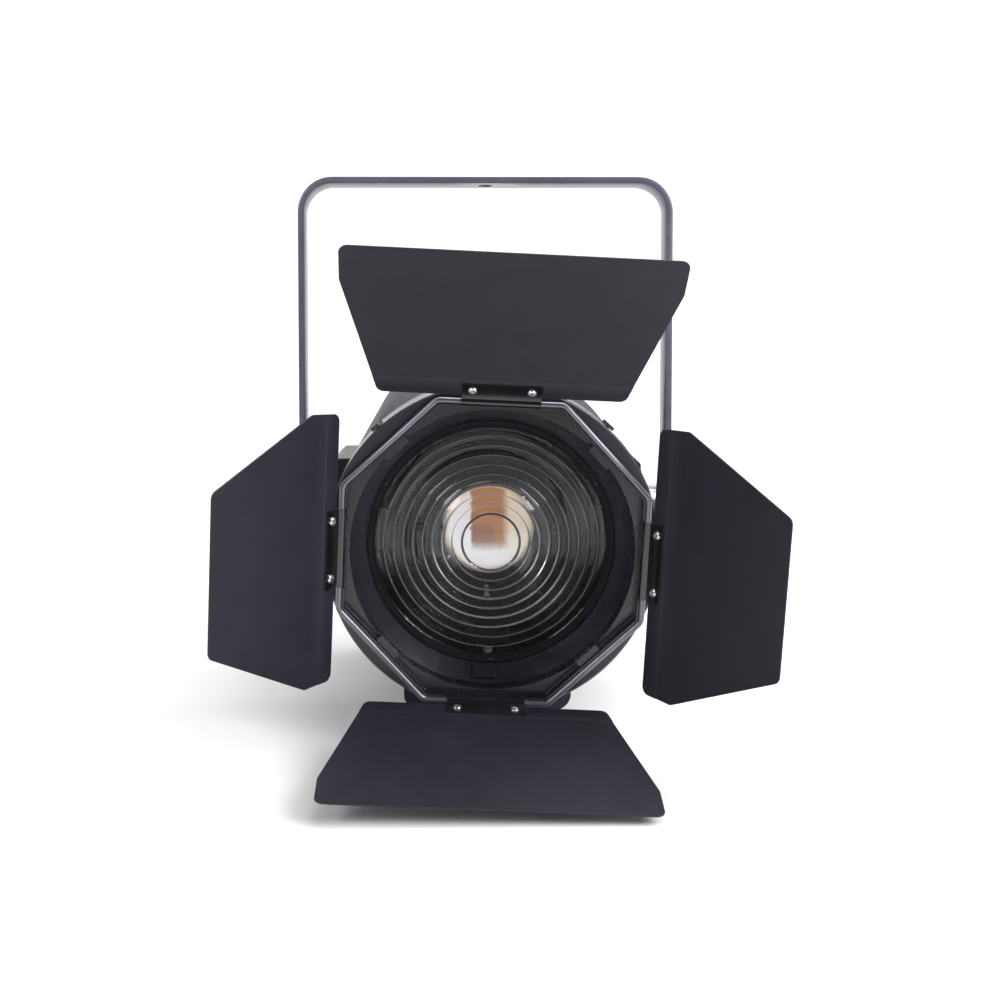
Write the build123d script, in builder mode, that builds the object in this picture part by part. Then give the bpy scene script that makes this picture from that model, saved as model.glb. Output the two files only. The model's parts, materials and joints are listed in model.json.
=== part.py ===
"""LED fresnel spotlight with a tilting yoke, a turning four-leaf barn door and a motorised zoom.

Units are millimetres. +Z is up, the lens looks along -Y and +X is on the right of someone facing
the lens. The origin is on the flat underside, straight below the tilt axis.
"""

import os
from math import cos, radians, sin, sqrt

from build123d import *

# Head
AXIS_Z = 170.0  # height of the optical axis and of the tilt axis
RIM_Y = -181.5  # plane of the barn door's rim
RING_R = 137.7  # outside of the cast front ring
RING_FRONT_Y = -167.5
RING_REAR_Y = -120.0
RING_EDGE = 1.5
RING_REAR_EDGE = 3.0
SLEEVE = 30.0  # how far the barrel reaches into the ring
SLEEVE_STEP_R = 124.0
SLEEVE_STEP = 13.0
THROAT_FOOT = 4.5  # lens edge to the foot of the ring's tapered throat
LENS_R = 104.0
LENS_FRONT_Y = -133.0
LENS_REAR_Y = -125.0
LENS_CREST_Y = -134.0
LENS_GROOVES = 9
GROOVE_PITCH = 8.17
GROOVE_CURVE_R = 84.6  # a facet's slope is its crest's radius over this
GROOVE_MAX_SLOPE = 0.62
CROWN_R = 25.0  # plain dome in the middle of the lens
CROWN_SAG = 3.2
CROWN_RISE = 1.2  # how far the dome's top stands in front of the crests
SEAT_GAP = 0.5  # lens edge to its seat
SEAT_STEP = 5.0  # how far the rear lip reaches under the lens
SEAT_WALL = 4.0
CREST_HALF = 0.4  # half width of the flat on each crest
RETAINER_THICK = 3.0
RETAINER_R = 104.4
RETAINER_EDGE = 0.6
RETAINER_SCREWS = 3
RETAINER_SCREW_IN = 3.1  # ring's outside to its screws
RETAINER_SCREW_R = 1.2
RETAINER_IN_R = 97.8
LOCK_LIFT = 42.5  # degrees from the top to each lock screw
LOCK_BACK = 6.5  # ring's front face to the lock screws
LOCK_SHANK_R = 2.0
LOCK_HEAD_R = 5.5
LOCK_HEAD = 3.0
LOCK_HOLE = 20.0
LOCK_RIBS = 10
LOCK_RIB_R = 0.9
LOCK_TIP = 0.9  # how far the shank reaches into the collar's groove
BARREL_R = 131.3
SHELL_FRONT_Y = -114.0
SHELL_REAR_Y = 100.0
COVER_REAR_Y = 150.0
COVER_TAPER = 20.0
NOSE_R = 137.0  # the shell's corners are turned down to this at its front
NOSE_LENGTH = 45.0
NOSE_RISE = 6.0
WALL = 2.0
BODY_TOP_HALF = 78.0  # half width of the flat top and of the flat underside
BODY_HALF_HEIGHT = 133.0
BODY_HALF_WIDTH = 134.0
BODY_SHOULDER = 35.0  # half height of the upright sides
BODY_CORNER_R = 75.0
EYE_Y = 78.0
EYE_HEIGHT = 15.5  # safety eye's centre above the head
EYE_R = 7.0
EYE_LUG_R = 15.0
EYE_THICK = 4.0
EYE_FOOT = 3.0
EYE_FOOT_MARGIN = 4.0
CABLE_HOLE_Y = 20.0
CABLE_HOLE_R = 12.0
VENT_LIFT = 52.0  # middle of the rear grille above the optical axis
VENT_LENGTH = 62.0
VENT_WIDTH = 4.0
VENT_ROWS = 10
VENT_GAP = 14.0
COVER_SCREW_BACK = 12.0  # shell's rear edge to the screws
COVER_SCREW_DROP = 12.0
COVER_SCREW_R = 3.0
COVER_SCREW_HEAD = 1.8

# Base box
BASE_HALF_WIDTH = 76.0
BASE_FRONT_Y = -70.0
BASE_REAR_Y = 90.0
BASE_CORNER_R = 15.0
BASE_CHEEK = 10.0  # how far the box's sides reach up round the head
BASE_HATCH_HALF = 58.0
BASE_HATCH_MARGIN = 8.0
HATCH_GAP = 0.2

# Yoke and its pivots
YOKE_LEAN = 5.2  # degrees that the yoke leans back at rest
YOKE_HALF_WIDTH = 173.5
YOKE_REACH = 312.8  # tilt axis to the outside of the top bar
BAR_WIDTH = 30.0
BAR_THICK = 6.0
YOKE_BEND_R = 32.0
YOKE_BOLT_R = 6.5
STUD_R = 5.0
SHAFT_GAP = 0.05  # running clearance of a shaft in its bore
GAP = 0.3  # clearance between pieces that move past each other
BLOCK_HALF_LENGTH = 45.0
BLOCK_HALF_HEIGHT = 59.0
BLOCK_BEVEL = 6.0
BLOCK_ROOT = 30.0  # how far the uncut block reaches into the body
HUB_R = 27.0
HUB_BEVEL = 1.5
STUD_LENGTH = 30.0
WASHER_R = 24.0
BLOCK_OUT_X = 140.0
HUB_OUT_X = 166.0
WASHER_OUT_X = 167.4
KNOB_IN_X = 175.3
KNOB_LOBES = 8
KNOB_R = 19.0
KNOB_LOBE_R = 5.5
KNOB_LOBE_CENTRE_R = 18.5
KNOB_NECK_R = 11.0
KNOB_NECK = 7.0
KNOB_GRIP = 19.0
KNOB_BORE = 22.0
KNOB_EDGE = 2.0
KNOB_WASHER_R = 12.0
KNOB_WASHER = 1.5

# Barn door
ROLL = 2.73  # degrees that the barn door is turned clockwise, seen from the front
RIM_SIDES = 8
RIM_TURN = 22.5  # puts a flat at the top
HINGE_R = 123.5  # optical axis to the centre of the rim wire
WIRE_R = 2.5
PAN_WALL = 1.5
WIRE_BEND_R = 9.0
PAN_APOTHEM = HINGE_R - WIRE_R - 0.02
PAN_PLATE_Y = -169.5
PAN_OPENING_R = 117.0
COLLAR_R = 119.7
COLLAR_REAR_Y = -154.5
COLLAR_SEAT_R = COLLAR_R + GAP
COLLAR_GROOVE = 1.3
COLLAR_GROOVE_REAR = 9.5  # ring's front face to the groove's rear edge
COLLAR_GROOVE_WIDTH = 6.0
CLIP_RELIEF = (12.0, 5.0)
CLIP_RELIEF_MARGIN = 1.0
CLIP_PLATE = 16.0
CLIP_START = 0.5
NOTCH_HALF = 25.0
NOTCH_WIDTH = 7.0
FILTER_CLIP_REACH = 9.0
FILTER_CLIP_FOOT = 5.0
FILTER_CLIP_LIP = 6.0
FILTER_CLIP_HALF = 11.0
CLIP_HALF_WIDTH = 32.0
CLIP_SHEET = 1.05
LEAF_SHEET = 1.5
LEAF_START = 6.0  # rim wire to the leaf's near edge
LEAF_END = 146.0
LEAF_SCREW_T = 23.5
LEAF_SCREW_V = 12.5
LEAF_DROP = 0.4  # hinge plane to the leaf's inner face
LEAF_CORNER_R = 7.0
HINGE_SCREW_R = 2.0
HINGE_SCREW_HEAD_R = 3.2
HINGE_SCREW_HEAD = 1.9
HINGE_SCREW_LENGTH = 5.4
HINGE_NUT_R = 3.6
HINGE_NUT = 2.4
WIDE_LEAF = [(98.7, LEAF_START), (127.5, LEAF_END - 31), (127.5, LEAF_END)]
SIDE_LEAF = [(109.3, LEAF_START), (110.5, LEAF_START + 32), (60.7, LEAF_END)]
LEAF_ANGLES = {"top": (90, 52.7), "right": (0, 34.4), "bottom": (-90, 12.5), "left": (180, 35.1)}

# Zoom carriage, at its forward end
PLATE_FRONT_Y = -80.0
PLATE_THICK = 4.0
ROD_R = 5.0
ROD_X = 114.0
ROD_FRONT_Y = -116.0
SUPPORT_REAR_Y = 93.0
SUPPORT_THICK = 3.0
BUSH_R = 8.0
BUSH_LENGTH = 26.0
SCREW_R = 4.0
SCREW_DROP = 92.0  # lead screw below the optical axis
SINK_R = 62.0
SINK_BASE = 8.0
SINK_REAR_Y = -38.0
FAN_HALF = 46.0
FAN_REAR_Y = -13.0
FAN_BORE_R = 43.0
FAN_HUB_R = 18.0
FAN_SHAFT_R = 3.0
FAN_BLADES = 7
FAN_PITCH = 35.0
MOTOR_SIZE = 42.0
MOTOR_LENGTH = 30.0
MOTOR_BEVEL = 4.0
SCREW_REAR = 20.0  # how far the lead screw reaches into the motor
SCREW_NOSE = 8.0
SCREW_BEVEL = 0.8
ARM_HEIGHT = 30.0
BOSS_R = 12.0
NUT_BOSS_R = 15.0
BUSH_NOSE = 6.0
FIN_COUNT = 15
FIN_THICK = 1.8
FIN_MARGIN = 4.0
CHIP_SIDE = 70.0
CHIP_THICK = 1.5
CHIP_CORNER_R = 3.0
CHIP_GAP = 0.4
EMITTER_R = 29.0
EMITTER_THICK = 1.3
HOLDER_R = 56.0
HOLDER_THICK = 3.0
HOLDER_MARGIN = 2.0
FAN_CORNER_R = 5.0
FAN_ARMS = 4
FAN_ARM_WIDTH = 4.0
FAN_ARM_THICK = 3.0
FAN_SHAFT_LENGTH = 14.0
ROTOR_FRONT = 3.0  # behind the heat sink
ROTOR_LENGTH = 18.0
BLADE_MIDDLE = 12.0
BLADE_ROOT_R = 10.0
BLADE_WIDTH = 22.0
BLADE_THICK = 1.6
BLADE_LENGTH = 30.0
ROTOR_BORE = 6.0
ROTOR_BORE_LENGTH = 16.0
SUPPLY_SIZE = (104.0, 136.0, 26.0)
SUPPLY_Y = 10.0
SUPPLY_FEET = 2.0
BOARD_SIZE = (110.0, 50.0, 1.6)
BOARD_BACK = 18.0  # cover's back to the board
BOARD_DROP = 40.0

# Rear controls, as heights from the optical axis
DISPLAY_Z = -24.0
BUTTON_Z = -48.0
BUTTON_PITCH = 18.0
BUTTON_R = 4.5
PANEL_Z = -86.0
CONNECTOR_PITCH = 34.0
CONNECTOR_R = 10.8
SOCKET_R = 9.5
SOCKET_DEPTH = 12.0
DISPLAY_SIZE = (50.0, 22.0)
PANEL_SIZE = (136.0, 36.0)
PANEL_CORNER_R = 3.0
CONNECTOR_HOLE_R = 11.0
CONNECTOR_DEPTH = 20.0
FLANGE_SIZE = (28.0, 30.0)
FLANGE_THICK = 2.0
COLLET_R = 12.0
COLLET_LENGTH = 8.0
FUSE_FLANGE = (12.5, 3.0)
FUSE_CAP = (7.5, 11.0)
FUSE_BODY = (6.5, 22.0)
FUSE_SLOT = (10.0, 1.6, 1.5)
BUTTON_SKIRT = (6.0, 1.0)
BUTTON_STAND = 2.5  # cap above the cover
BUTTON_EDGE = 0.8

FRONT = Vector(0, -1, 0)
OPTICAL_AXIS = Axis((0, 0, AXIS_Z), (0, 1, 0))
MERIDIAN = Plane(origin=(0, 0, AXIS_Z), x_dir=(0, 1, 0), z_dir=(1, 0, 0))
BODY_CORNERS = [
    (BODY_TOP_HALF, BODY_HALF_HEIGHT),
    (BODY_HALF_WIDTH, BODY_SHOULDER),
    (BODY_HALF_WIDTH, -BODY_SHOULDER),
    (BODY_TOP_HALF, -BODY_HALF_HEIGHT),
    (-BODY_TOP_HALF, -BODY_HALF_HEIGHT),
    (-BODY_HALF_WIDTH, -BODY_SHOULDER),
    (-BODY_HALF_WIDTH, BODY_SHOULDER),
    (-BODY_TOP_HALF, BODY_HALF_HEIGHT),
]

os.makedirs("parts", exist_ok=True)


def write_node(builder, name):
    """Label a finished sub-part and write its STEP file."""
    builder.part.label = name
    export_step(builder.part, f"parts/{name}.step")


def section(y, drop=0.0, across=0.0):
    """An upright plane across the optical axis: sketches face the front, and +Z is their up."""
    return Plane(origin=(across, y, AXIS_Z - drop), x_dir=(1, 0, 0), z_dir=(0, -1, 0))


def rolled_section(y):
    """The same plane, turned with the barn door."""
    turn = radians(ROLL)
    return Plane(origin=(0, y, AXIS_Z), x_dir=(cos(turn), 0, -sin(turn)), z_dir=(0, -1, 0))


def side_plane(x, side):
    """A plane square to the tilt axis, facing outwards on side -1 or +1."""
    return Plane(origin=(side * x, 0, AXIS_Z), x_dir=(0, side, 0), z_dir=(side, 0, 0))


def body_profile(inset=0.0):
    """The head's section, eight-sided with broad corners, drawn into the sketch that is open."""
    with BuildSketch(Plane.XY, mode=Mode.PRIVATE) as outline:
        Polygon(*BODY_CORNERS, align=None)
        fillet(outline.vertices(), BODY_CORNER_R)
        if inset:
            offset(amount=-inset, mode=Mode.REPLACE)
    add(outline.sketch)


def nose_outline(inset=0.0):
    """Half of the round outline that the shell's corners are turned down to, drawn into the open sketch."""
    full_r = NOSE_R + NOSE_RISE - inset
    Polygon(
        (SHELL_FRONT_Y, 0),
        (SHELL_FRONT_Y, NOSE_R - inset),
        (SHELL_FRONT_Y + NOSE_LENGTH, full_r),
        (SHELL_REAR_Y, full_r),
        (SHELL_REAR_Y, 0),
        align=None,
    )


def lock_plane(side):
    """Where a lock screw enters the ring's rim, facing outwards."""
    lift = radians(LOCK_LIFT)
    return Plane(
        origin=(side * RING_R * sin(lift), RING_FRONT_Y + LOCK_BACK, AXIS_Z + RING_R * cos(lift)),
        z_dir=(side * sin(lift), 0, cos(lift)),
    )


def leaf_frame(direction, angle):
    """A leaf's own plane: origin on the rim wire, x along the hinge, y away from it, z to the beam."""
    rim = rolled_section(RIM_Y)
    outward = rim.x_dir * cos(radians(direction)) + rim.y_dir * sin(radians(direction))
    along = rim.x_dir * sin(radians(direction)) - rim.y_dir * cos(radians(direction))
    facing = FRONT * sin(radians(angle)) - outward * cos(radians(angle))
    return Plane(origin=rim.origin + outward * HINGE_R, x_dir=along, z_dir=facing)


# ---------------------------------------------------------------- lens and front ring

with BuildPart() as front_ring:
    with BuildSketch(MERIDIAN):
        Polygon(
            (RING_FRONT_Y, COLLAR_SEAT_R),
            (RING_FRONT_Y, RING_R - RING_EDGE),
            (RING_FRONT_Y + RING_EDGE, RING_R),
            (RING_REAR_Y - RING_REAR_EDGE, RING_R),
            (RING_REAR_Y, RING_R - RING_REAR_EDGE),
            (RING_REAR_Y, BARREL_R),
            (RING_REAR_Y - SLEEVE, BARREL_R),
            (RING_REAR_Y - SLEEVE, SLEEVE_STEP_R),
            (RING_REAR_Y - SLEEVE + SLEEVE_STEP, LENS_R + SEAT_GAP + SEAT_WALL),
            (RING_REAR_Y, LENS_R + SEAT_GAP + SEAT_WALL),
            (RING_REAR_Y, LENS_R - SEAT_STEP),
            (LENS_REAR_Y + WALL, LENS_R - SEAT_STEP),
            (LENS_REAR_Y + WALL, LENS_R + SEAT_GAP),
            (LENS_FRONT_Y - THROAT_FOOT, LENS_R + SEAT_GAP),
            (COLLAR_REAR_Y + 1, PAN_OPENING_R),
            (COLLAR_REAR_Y + 1, COLLAR_SEAT_R),
            align=None,
        )
    revolve(axis=OPTICAL_AXIS)
    for side in (-1, 1):
        with BuildSketch(lock_plane(side)):
            Circle(LOCK_SHANK_R + SHAFT_GAP)
        extrude(amount=-LOCK_HOLE, mode=Mode.SUBTRACT)
write_node(front_ring, "front_ring")

with BuildPart() as lens:
    with BuildSketch(MERIDIAN):
        with BuildLine():
            stations = [(LENS_REAR_Y, 0), (LENS_REAR_Y, LENS_R), (LENS_FRONT_Y, LENS_R)]
            for number in reversed(range(LENS_GROOVES)):
                crest = CROWN_R + number * GROOVE_PITCH
                fall = GROOVE_PITCH * min(crest / GROOVE_CURVE_R, GROOVE_MAX_SLOPE)
                stations.append((LENS_CREST_Y + fall, crest + GROOVE_PITCH - CREST_HALF))
                stations.append((LENS_CREST_Y, crest + CREST_HALF))
            dome_top = LENS_CREST_Y - CROWN_RISE
            stations.append((dome_top + CROWN_SAG, CROWN_R))
            Polyline(*stations)
            dome = (CROWN_R**2 + CROWN_SAG**2) / (2 * CROWN_SAG)
            half_way = dome - sqrt(dome**2 - CROWN_R**2 / 4)
            ThreePointArc(stations[-1], (dome_top + half_way, CROWN_R / 2), (dome_top, 0))
            Line((dome_top, 0), stations[0])
        make_face()
    revolve(axis=OPTICAL_AXIS)
write_node(lens, "lens")

with BuildPart() as lens_retaining_ring:
    with BuildSketch(MERIDIAN):
        Polygon(
            (LENS_FRONT_Y, RETAINER_R),
            (LENS_FRONT_Y - RETAINER_THICK + RETAINER_EDGE, RETAINER_R),
            (LENS_FRONT_Y - RETAINER_THICK, RETAINER_R - RETAINER_EDGE),
            (LENS_FRONT_Y - RETAINER_THICK, RETAINER_IN_R + RETAINER_EDGE),
            (LENS_FRONT_Y - RETAINER_THICK + RETAINER_EDGE, RETAINER_IN_R),
            (LENS_FRONT_Y, RETAINER_IN_R),
            align=None,
        )
    revolve(axis=OPTICAL_AXIS)
    with BuildSketch(section(LENS_FRONT_Y - RETAINER_THICK)):
        with PolarLocations(RETAINER_R - RETAINER_SCREW_IN, RETAINER_SCREWS, start_angle=30):
            Circle(RETAINER_SCREW_R)
    extrude(amount=-RETAINER_THICK / 2, mode=Mode.SUBTRACT)
write_node(lens_retaining_ring, "lens_retaining_ring")

with BuildPart() as lens_gasket:
    with BuildSketch(section(LENS_REAR_Y)):
        Circle(LENS_R)
        Circle(LENS_R - SEAT_STEP + SEAT_GAP, mode=Mode.SUBTRACT)
    extrude(amount=-WALL)
write_node(lens_gasket, "lens_gasket")

with BuildPart() as front_barrel:
    with BuildSketch(section(SHELL_FRONT_Y + WALL)):
        Circle(BARREL_R)
        Circle(BARREL_R - WALL, mode=Mode.SUBTRACT)
    extrude(amount=SHELL_FRONT_Y + WALL - RING_REAR_Y + SLEEVE)
write_node(front_barrel, "front_barrel")

# ---------------------------------------------------------------- head casings

with BuildPart() as shell_cavity:
    with BuildSketch(section(SHELL_REAR_Y)):
        body_profile(WALL)
    extrude(amount=SHELL_REAR_Y - SHELL_FRONT_Y - WALL)
    with BuildSketch(MERIDIAN):
        nose_outline(WALL)
    revolve(axis=OPTICAL_AXIS, mode=Mode.INTERSECT)

with BuildPart() as main_shell:
    with BuildSketch(section(SHELL_REAR_Y)):
        body_profile()
    extrude(amount=SHELL_REAR_Y - SHELL_FRONT_Y)
    with BuildSketch(MERIDIAN):
        nose_outline()
    revolve(axis=OPTICAL_AXIS, mode=Mode.INTERSECT)
    add(shell_cavity.part, mode=Mode.SUBTRACT)
    with BuildSketch(section(SHELL_FRONT_Y)):
        Circle(BARREL_R)
    extrude(amount=-WALL, mode=Mode.SUBTRACT)
    with BuildSketch(Plane.XY.offset(AXIS_Z - BODY_HALF_HEIGHT)):
        with Locations((0, CABLE_HOLE_Y)):
            Circle(CABLE_HOLE_R)
    extrude(amount=WALL, mode=Mode.SUBTRACT)
write_node(main_shell, "main_shell")

with BuildPart() as cover_cavity:
    with BuildSketch(section(SHELL_REAR_Y)):
        body_profile(WALL)
    extrude(amount=SHELL_REAR_Y - COVER_REAR_Y + WALL)
    chamfer(cover_cavity.faces().sort_by(Axis.Y)[-1].edges(), COVER_TAPER)

with BuildPart() as rear_cover:
    with BuildSketch(section(SHELL_REAR_Y)):
        body_profile()
    extrude(amount=SHELL_REAR_Y - COVER_REAR_Y)
    chamfer(rear_cover.faces().sort_by(Axis.Y)[-1].edges(), COVER_TAPER)
    add(cover_cavity.part, mode=Mode.SUBTRACT)
    with BuildSketch(section(COVER_REAR_Y, drop=-VENT_LIFT)):
        with GridLocations(VENT_LENGTH + VENT_GAP, 2 * VENT_WIDTH, 2, VENT_ROWS):
            SlotOverall(VENT_LENGTH, VENT_WIDTH)
    extrude(amount=WALL, mode=Mode.SUBTRACT)
    with BuildSketch(section(COVER_REAR_Y, drop=-DISPLAY_Z)):
        Rectangle(DISPLAY_SIZE[0] + 2 * HATCH_GAP, DISPLAY_SIZE[1] + 2 * HATCH_GAP)
    extrude(amount=WALL, mode=Mode.SUBTRACT)
    with BuildSketch(section(COVER_REAR_Y, drop=-BUTTON_Z)):
        with GridLocations(BUTTON_PITCH, 0, 4, 1):
            Circle(BUTTON_R + GAP)
    extrude(amount=WALL, mode=Mode.SUBTRACT)
    with BuildSketch(section(COVER_REAR_Y, drop=-PANEL_Z)):
        with GridLocations(CONNECTOR_PITCH, 0, 4, 1):
            Circle(CONNECTOR_HOLE_R)
    extrude(amount=WALL, mode=Mode.SUBTRACT)
write_node(rear_cover, "rear_cover")

with BuildPart() as base_box:
    with BuildSketch(section(BASE_REAR_Y, drop=AXIS_Z)) as box_outline:
        base_top = AXIS_Z - BODY_HALF_HEIGHT
        Rectangle(2 * BASE_HALF_WIDTH, base_top + BASE_CHEEK, align=(Align.CENTER, Align.MIN))
        fillet(box_outline.vertices().group_by(Axis.Z)[0], BASE_CORNER_R)
    extrude(amount=BASE_REAR_Y - BASE_FRONT_Y)
    with BuildSketch(section(BASE_REAR_Y)):
        body_profile()
    extrude(amount=BASE_REAR_Y - BASE_FRONT_Y, mode=Mode.SUBTRACT)
    with BuildSketch(section(BASE_REAR_Y - WALL, drop=AXIS_Z - WALL)) as box_inside:
        Rectangle(2 * (BASE_HALF_WIDTH - WALL), base_top - 2 * WALL, align=(Align.CENTER, Align.MIN))
        fillet(box_inside.vertices().group_by(Axis.Z)[0], BASE_CORNER_R - WALL)
    extrude(amount=BASE_REAR_Y - BASE_FRONT_Y - 2 * WALL, mode=Mode.SUBTRACT)
    with BuildSketch(Plane.XY):
        with Locations((0, (BASE_FRONT_Y + BASE_REAR_Y) / 2)):
            Rectangle(2 * BASE_HATCH_HALF, BASE_REAR_Y - BASE_FRONT_Y - 2 * BASE_HATCH_MARGIN)
    extrude(amount=WALL, mode=Mode.SUBTRACT)
    with BuildSketch(Plane.XY.offset(base_top)):
        with Locations((0, CABLE_HOLE_Y)):
            Circle(CABLE_HOLE_R)
    extrude(amount=-WALL, mode=Mode.SUBTRACT)
write_node(base_box, "base_box")

with BuildPart() as base_cover:
    with BuildSketch(Plane.XY):
        with Locations((0, (BASE_FRONT_Y + BASE_REAR_Y) / 2)):
            hatch_length = BASE_REAR_Y - BASE_FRONT_Y - 2 * BASE_HATCH_MARGIN
            Rectangle(2 * (BASE_HATCH_HALF - HATCH_GAP), hatch_length - 2 * HATCH_GAP)
    extrude(amount=WALL)
write_node(base_cover, "base_cover")

with BuildPart() as cover_screws:
    for side in (-1, 1):
        with BuildSketch(side_plane(BODY_HALF_WIDTH, side)):
            with Locations((side * (SHELL_REAR_Y + COVER_SCREW_BACK), 0)):
                with GridLocations(0, 2 * COVER_SCREW_DROP, 1, 2):
                    Circle(COVER_SCREW_R)
        extrude(amount=COVER_SCREW_HEAD)
write_node(cover_screws, "cover_screws")

for side, hand in ((-1, "left"), (1, "right")):
    with BuildPart() as pivot_block:
        with BuildSketch(section(BLOCK_HALF_LENGTH)):
            Polygon(
                (side * (BODY_HALF_WIDTH - BLOCK_ROOT), BLOCK_HALF_HEIGHT),
                (side * (BLOCK_OUT_X - BLOCK_BEVEL), BLOCK_HALF_HEIGHT),
                (side * BLOCK_OUT_X, BLOCK_HALF_HEIGHT - BLOCK_BEVEL),
                (side * BLOCK_OUT_X, BLOCK_BEVEL - BLOCK_HALF_HEIGHT),
                (side * (BLOCK_OUT_X - BLOCK_BEVEL), -BLOCK_HALF_HEIGHT),
                (side * (BODY_HALF_WIDTH - BLOCK_ROOT), -BLOCK_HALF_HEIGHT),
                align=None,
            )
        extrude(amount=2 * BLOCK_HALF_LENGTH)
        with BuildSketch(section(BLOCK_HALF_LENGTH)):
            body_profile()
        extrude(amount=2 * BLOCK_HALF_LENGTH, mode=Mode.SUBTRACT)
    write_node(pivot_block, f"pivot_block_{hand}")

    with BuildPart() as pivot_hub:
        with BuildSketch(side_plane(BLOCK_OUT_X, side)):
            Circle(HUB_R)
        extrude(amount=HUB_OUT_X - BLOCK_OUT_X)
        rims = pivot_hub.edges().filter_by(GeomType.CIRCLE).sort_by(Axis.X)
        chamfer(rims[-1 if side > 0 else 0], HUB_BEVEL)
        with BuildSketch(side_plane(HUB_OUT_X, side)):
            Circle(STUD_R)
        extrude(amount=STUD_LENGTH)
    write_node(pivot_hub, f"pivot_hub_{hand}")

with BuildPart() as friction_washers:
    for side in (-1, 1):
        with BuildSketch(side_plane(HUB_OUT_X, side)):
            Circle(WASHER_R)
            Circle(STUD_R + GAP, mode=Mode.SUBTRACT)
        extrude(amount=WASHER_OUT_X - HUB_OUT_X)
write_node(friction_washers, "friction_washers")

with BuildPart() as safety_eye:
    eye_top = AXIS_Z + BODY_HALF_HEIGHT
    with BuildSketch(Plane(origin=(-EYE_THICK / 2, EYE_Y, eye_top), x_dir=(0, 1, 0), z_dir=(1, 0, 0))):
        Rectangle(2 * EYE_LUG_R + EYE_FOOT_MARGIN, EYE_HEIGHT - 1, align=(Align.CENTER, Align.MIN))
        with Locations((0, EYE_HEIGHT)):
            Circle(EYE_LUG_R)
            Circle(EYE_R, mode=Mode.SUBTRACT)
    extrude(amount=EYE_THICK)
    with BuildSketch(Plane.XY.offset(eye_top)):
        with Locations((0, EYE_Y)):
            Rectangle(2 * EYE_LUG_R, 2 * EYE_LUG_R + EYE_FOOT_MARGIN)
    extrude(amount=EYE_FOOT)
write_node(safety_eye, "safety_eye")

# ---------------------------------------------------------------- inside the head

with BuildPart() as rod_supports:
    with BuildSketch(section(ROD_FRONT_Y + SUPPORT_THICK)):
        Circle(BARREL_R - WALL)
        Circle(LENS_R, mode=Mode.SUBTRACT)
        with GridLocations(2 * ROD_X, 0, 2, 1):
            Circle(ROD_R, mode=Mode.SUBTRACT)
    extrude(amount=SUPPORT_THICK)
    with BuildSketch(section(SUPPORT_REAR_Y)):
        body_profile(WALL)
        Circle(SINK_R, mode=Mode.SUBTRACT)
        with GridLocations(2 * ROD_X, 0, 2, 1):
            Circle(ROD_R, mode=Mode.SUBTRACT)
        with Locations((0, -SCREW_DROP)):
            Circle(SCREW_R + SHAFT_GAP, mode=Mode.SUBTRACT)
    extrude(amount=SUPPORT_THICK)
write_node(rod_supports, "rod_supports")

with BuildPart() as guide_rods:
    with BuildSketch(section(SUPPORT_REAR_Y)):
        with GridLocations(2 * ROD_X, 0, 2, 1):
            Circle(ROD_R)
    extrude(amount=SUPPORT_REAR_Y - ROD_FRONT_Y)
write_node(guide_rods, "guide_rods")

with BuildPart() as zoom_motor:
    with BuildSketch(section(SUPPORT_REAR_Y, drop=SCREW_DROP)) as can:
        Rectangle(MOTOR_SIZE, MOTOR_SIZE)
        chamfer(can.vertices(), MOTOR_BEVEL)
        Circle(SCREW_R + SHAFT_GAP, mode=Mode.SUBTRACT)
    extrude(amount=-MOTOR_LENGTH)
    with BuildSketch(section(SUPPORT_REAR_Y + MOTOR_LENGTH, drop=SCREW_DROP)) as cap:
        Rectangle(MOTOR_SIZE, MOTOR_SIZE)
        chamfer(cap.vertices(), MOTOR_BEVEL)
    extrude(amount=-WALL)
write_node(zoom_motor, "zoom_motor")

with BuildPart() as power_supply:
    with BuildSketch(Plane.XY.offset(WALL + SUPPLY_FEET)):
        with Locations((0, SUPPLY_Y)):
            Rectangle(SUPPLY_SIZE[0], SUPPLY_SIZE[1])
    extrude(amount=SUPPLY_SIZE[2])
write_node(power_supply, "power_supply")

with BuildPart() as control_board:
    with BuildSketch(section(COVER_REAR_Y - BOARD_BACK, drop=BOARD_DROP)):
        Rectangle(BOARD_SIZE[0], BOARD_SIZE[1])
    extrude(amount=BOARD_SIZE[2])
write_node(control_board, "control_board")

# ---------------------------------------------------------------- rear controls

with BuildPart() as display_window:
    with BuildSketch(section(COVER_REAR_Y, drop=-DISPLAY_Z)):
        Rectangle(*DISPLAY_SIZE)
    extrude(amount=WALL)
write_node(display_window, "display_window")

with BuildPart() as connector_panel:
    with BuildSketch(section(COVER_REAR_Y, drop=-PANEL_Z)):
        RectangleRounded(*PANEL_SIZE, PANEL_CORNER_R)
        with GridLocations(CONNECTOR_PITCH, 0, 4, 1):
            Circle(CONNECTOR_HOLE_R, mode=Mode.SUBTRACT)
    extrude(amount=-WALL)
write_node(connector_panel, "connector_panel")


def connector(across):
    """A round flanged chassis connector with a recessed face."""
    here = section(COVER_REAR_Y + WALL, drop=-PANEL_Z, across=across)
    with BuildPart() as body:
        with BuildSketch(here):
            RectangleRounded(*FLANGE_SIZE, PANEL_CORNER_R)
        extrude(amount=-FLANGE_THICK)
        with BuildSketch(here):
            Circle(CONNECTOR_R)
        extrude(amount=CONNECTOR_DEPTH)
        with BuildSketch(here.offset(-FLANGE_THICK)):
            Circle(COLLET_R)
        extrude(amount=-COLLET_LENGTH)
        with BuildSketch(here.offset(-FLANGE_THICK - COLLET_LENGTH)):
            Circle(SOCKET_R)
        extrude(amount=SOCKET_DEPTH, mode=Mode.SUBTRACT)
    return body


slots = [(number - 1.5) * CONNECTOR_PITCH for number in range(4)]
power_inlet = connector(slots[3])
write_node(power_inlet, "power_inlet")

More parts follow.
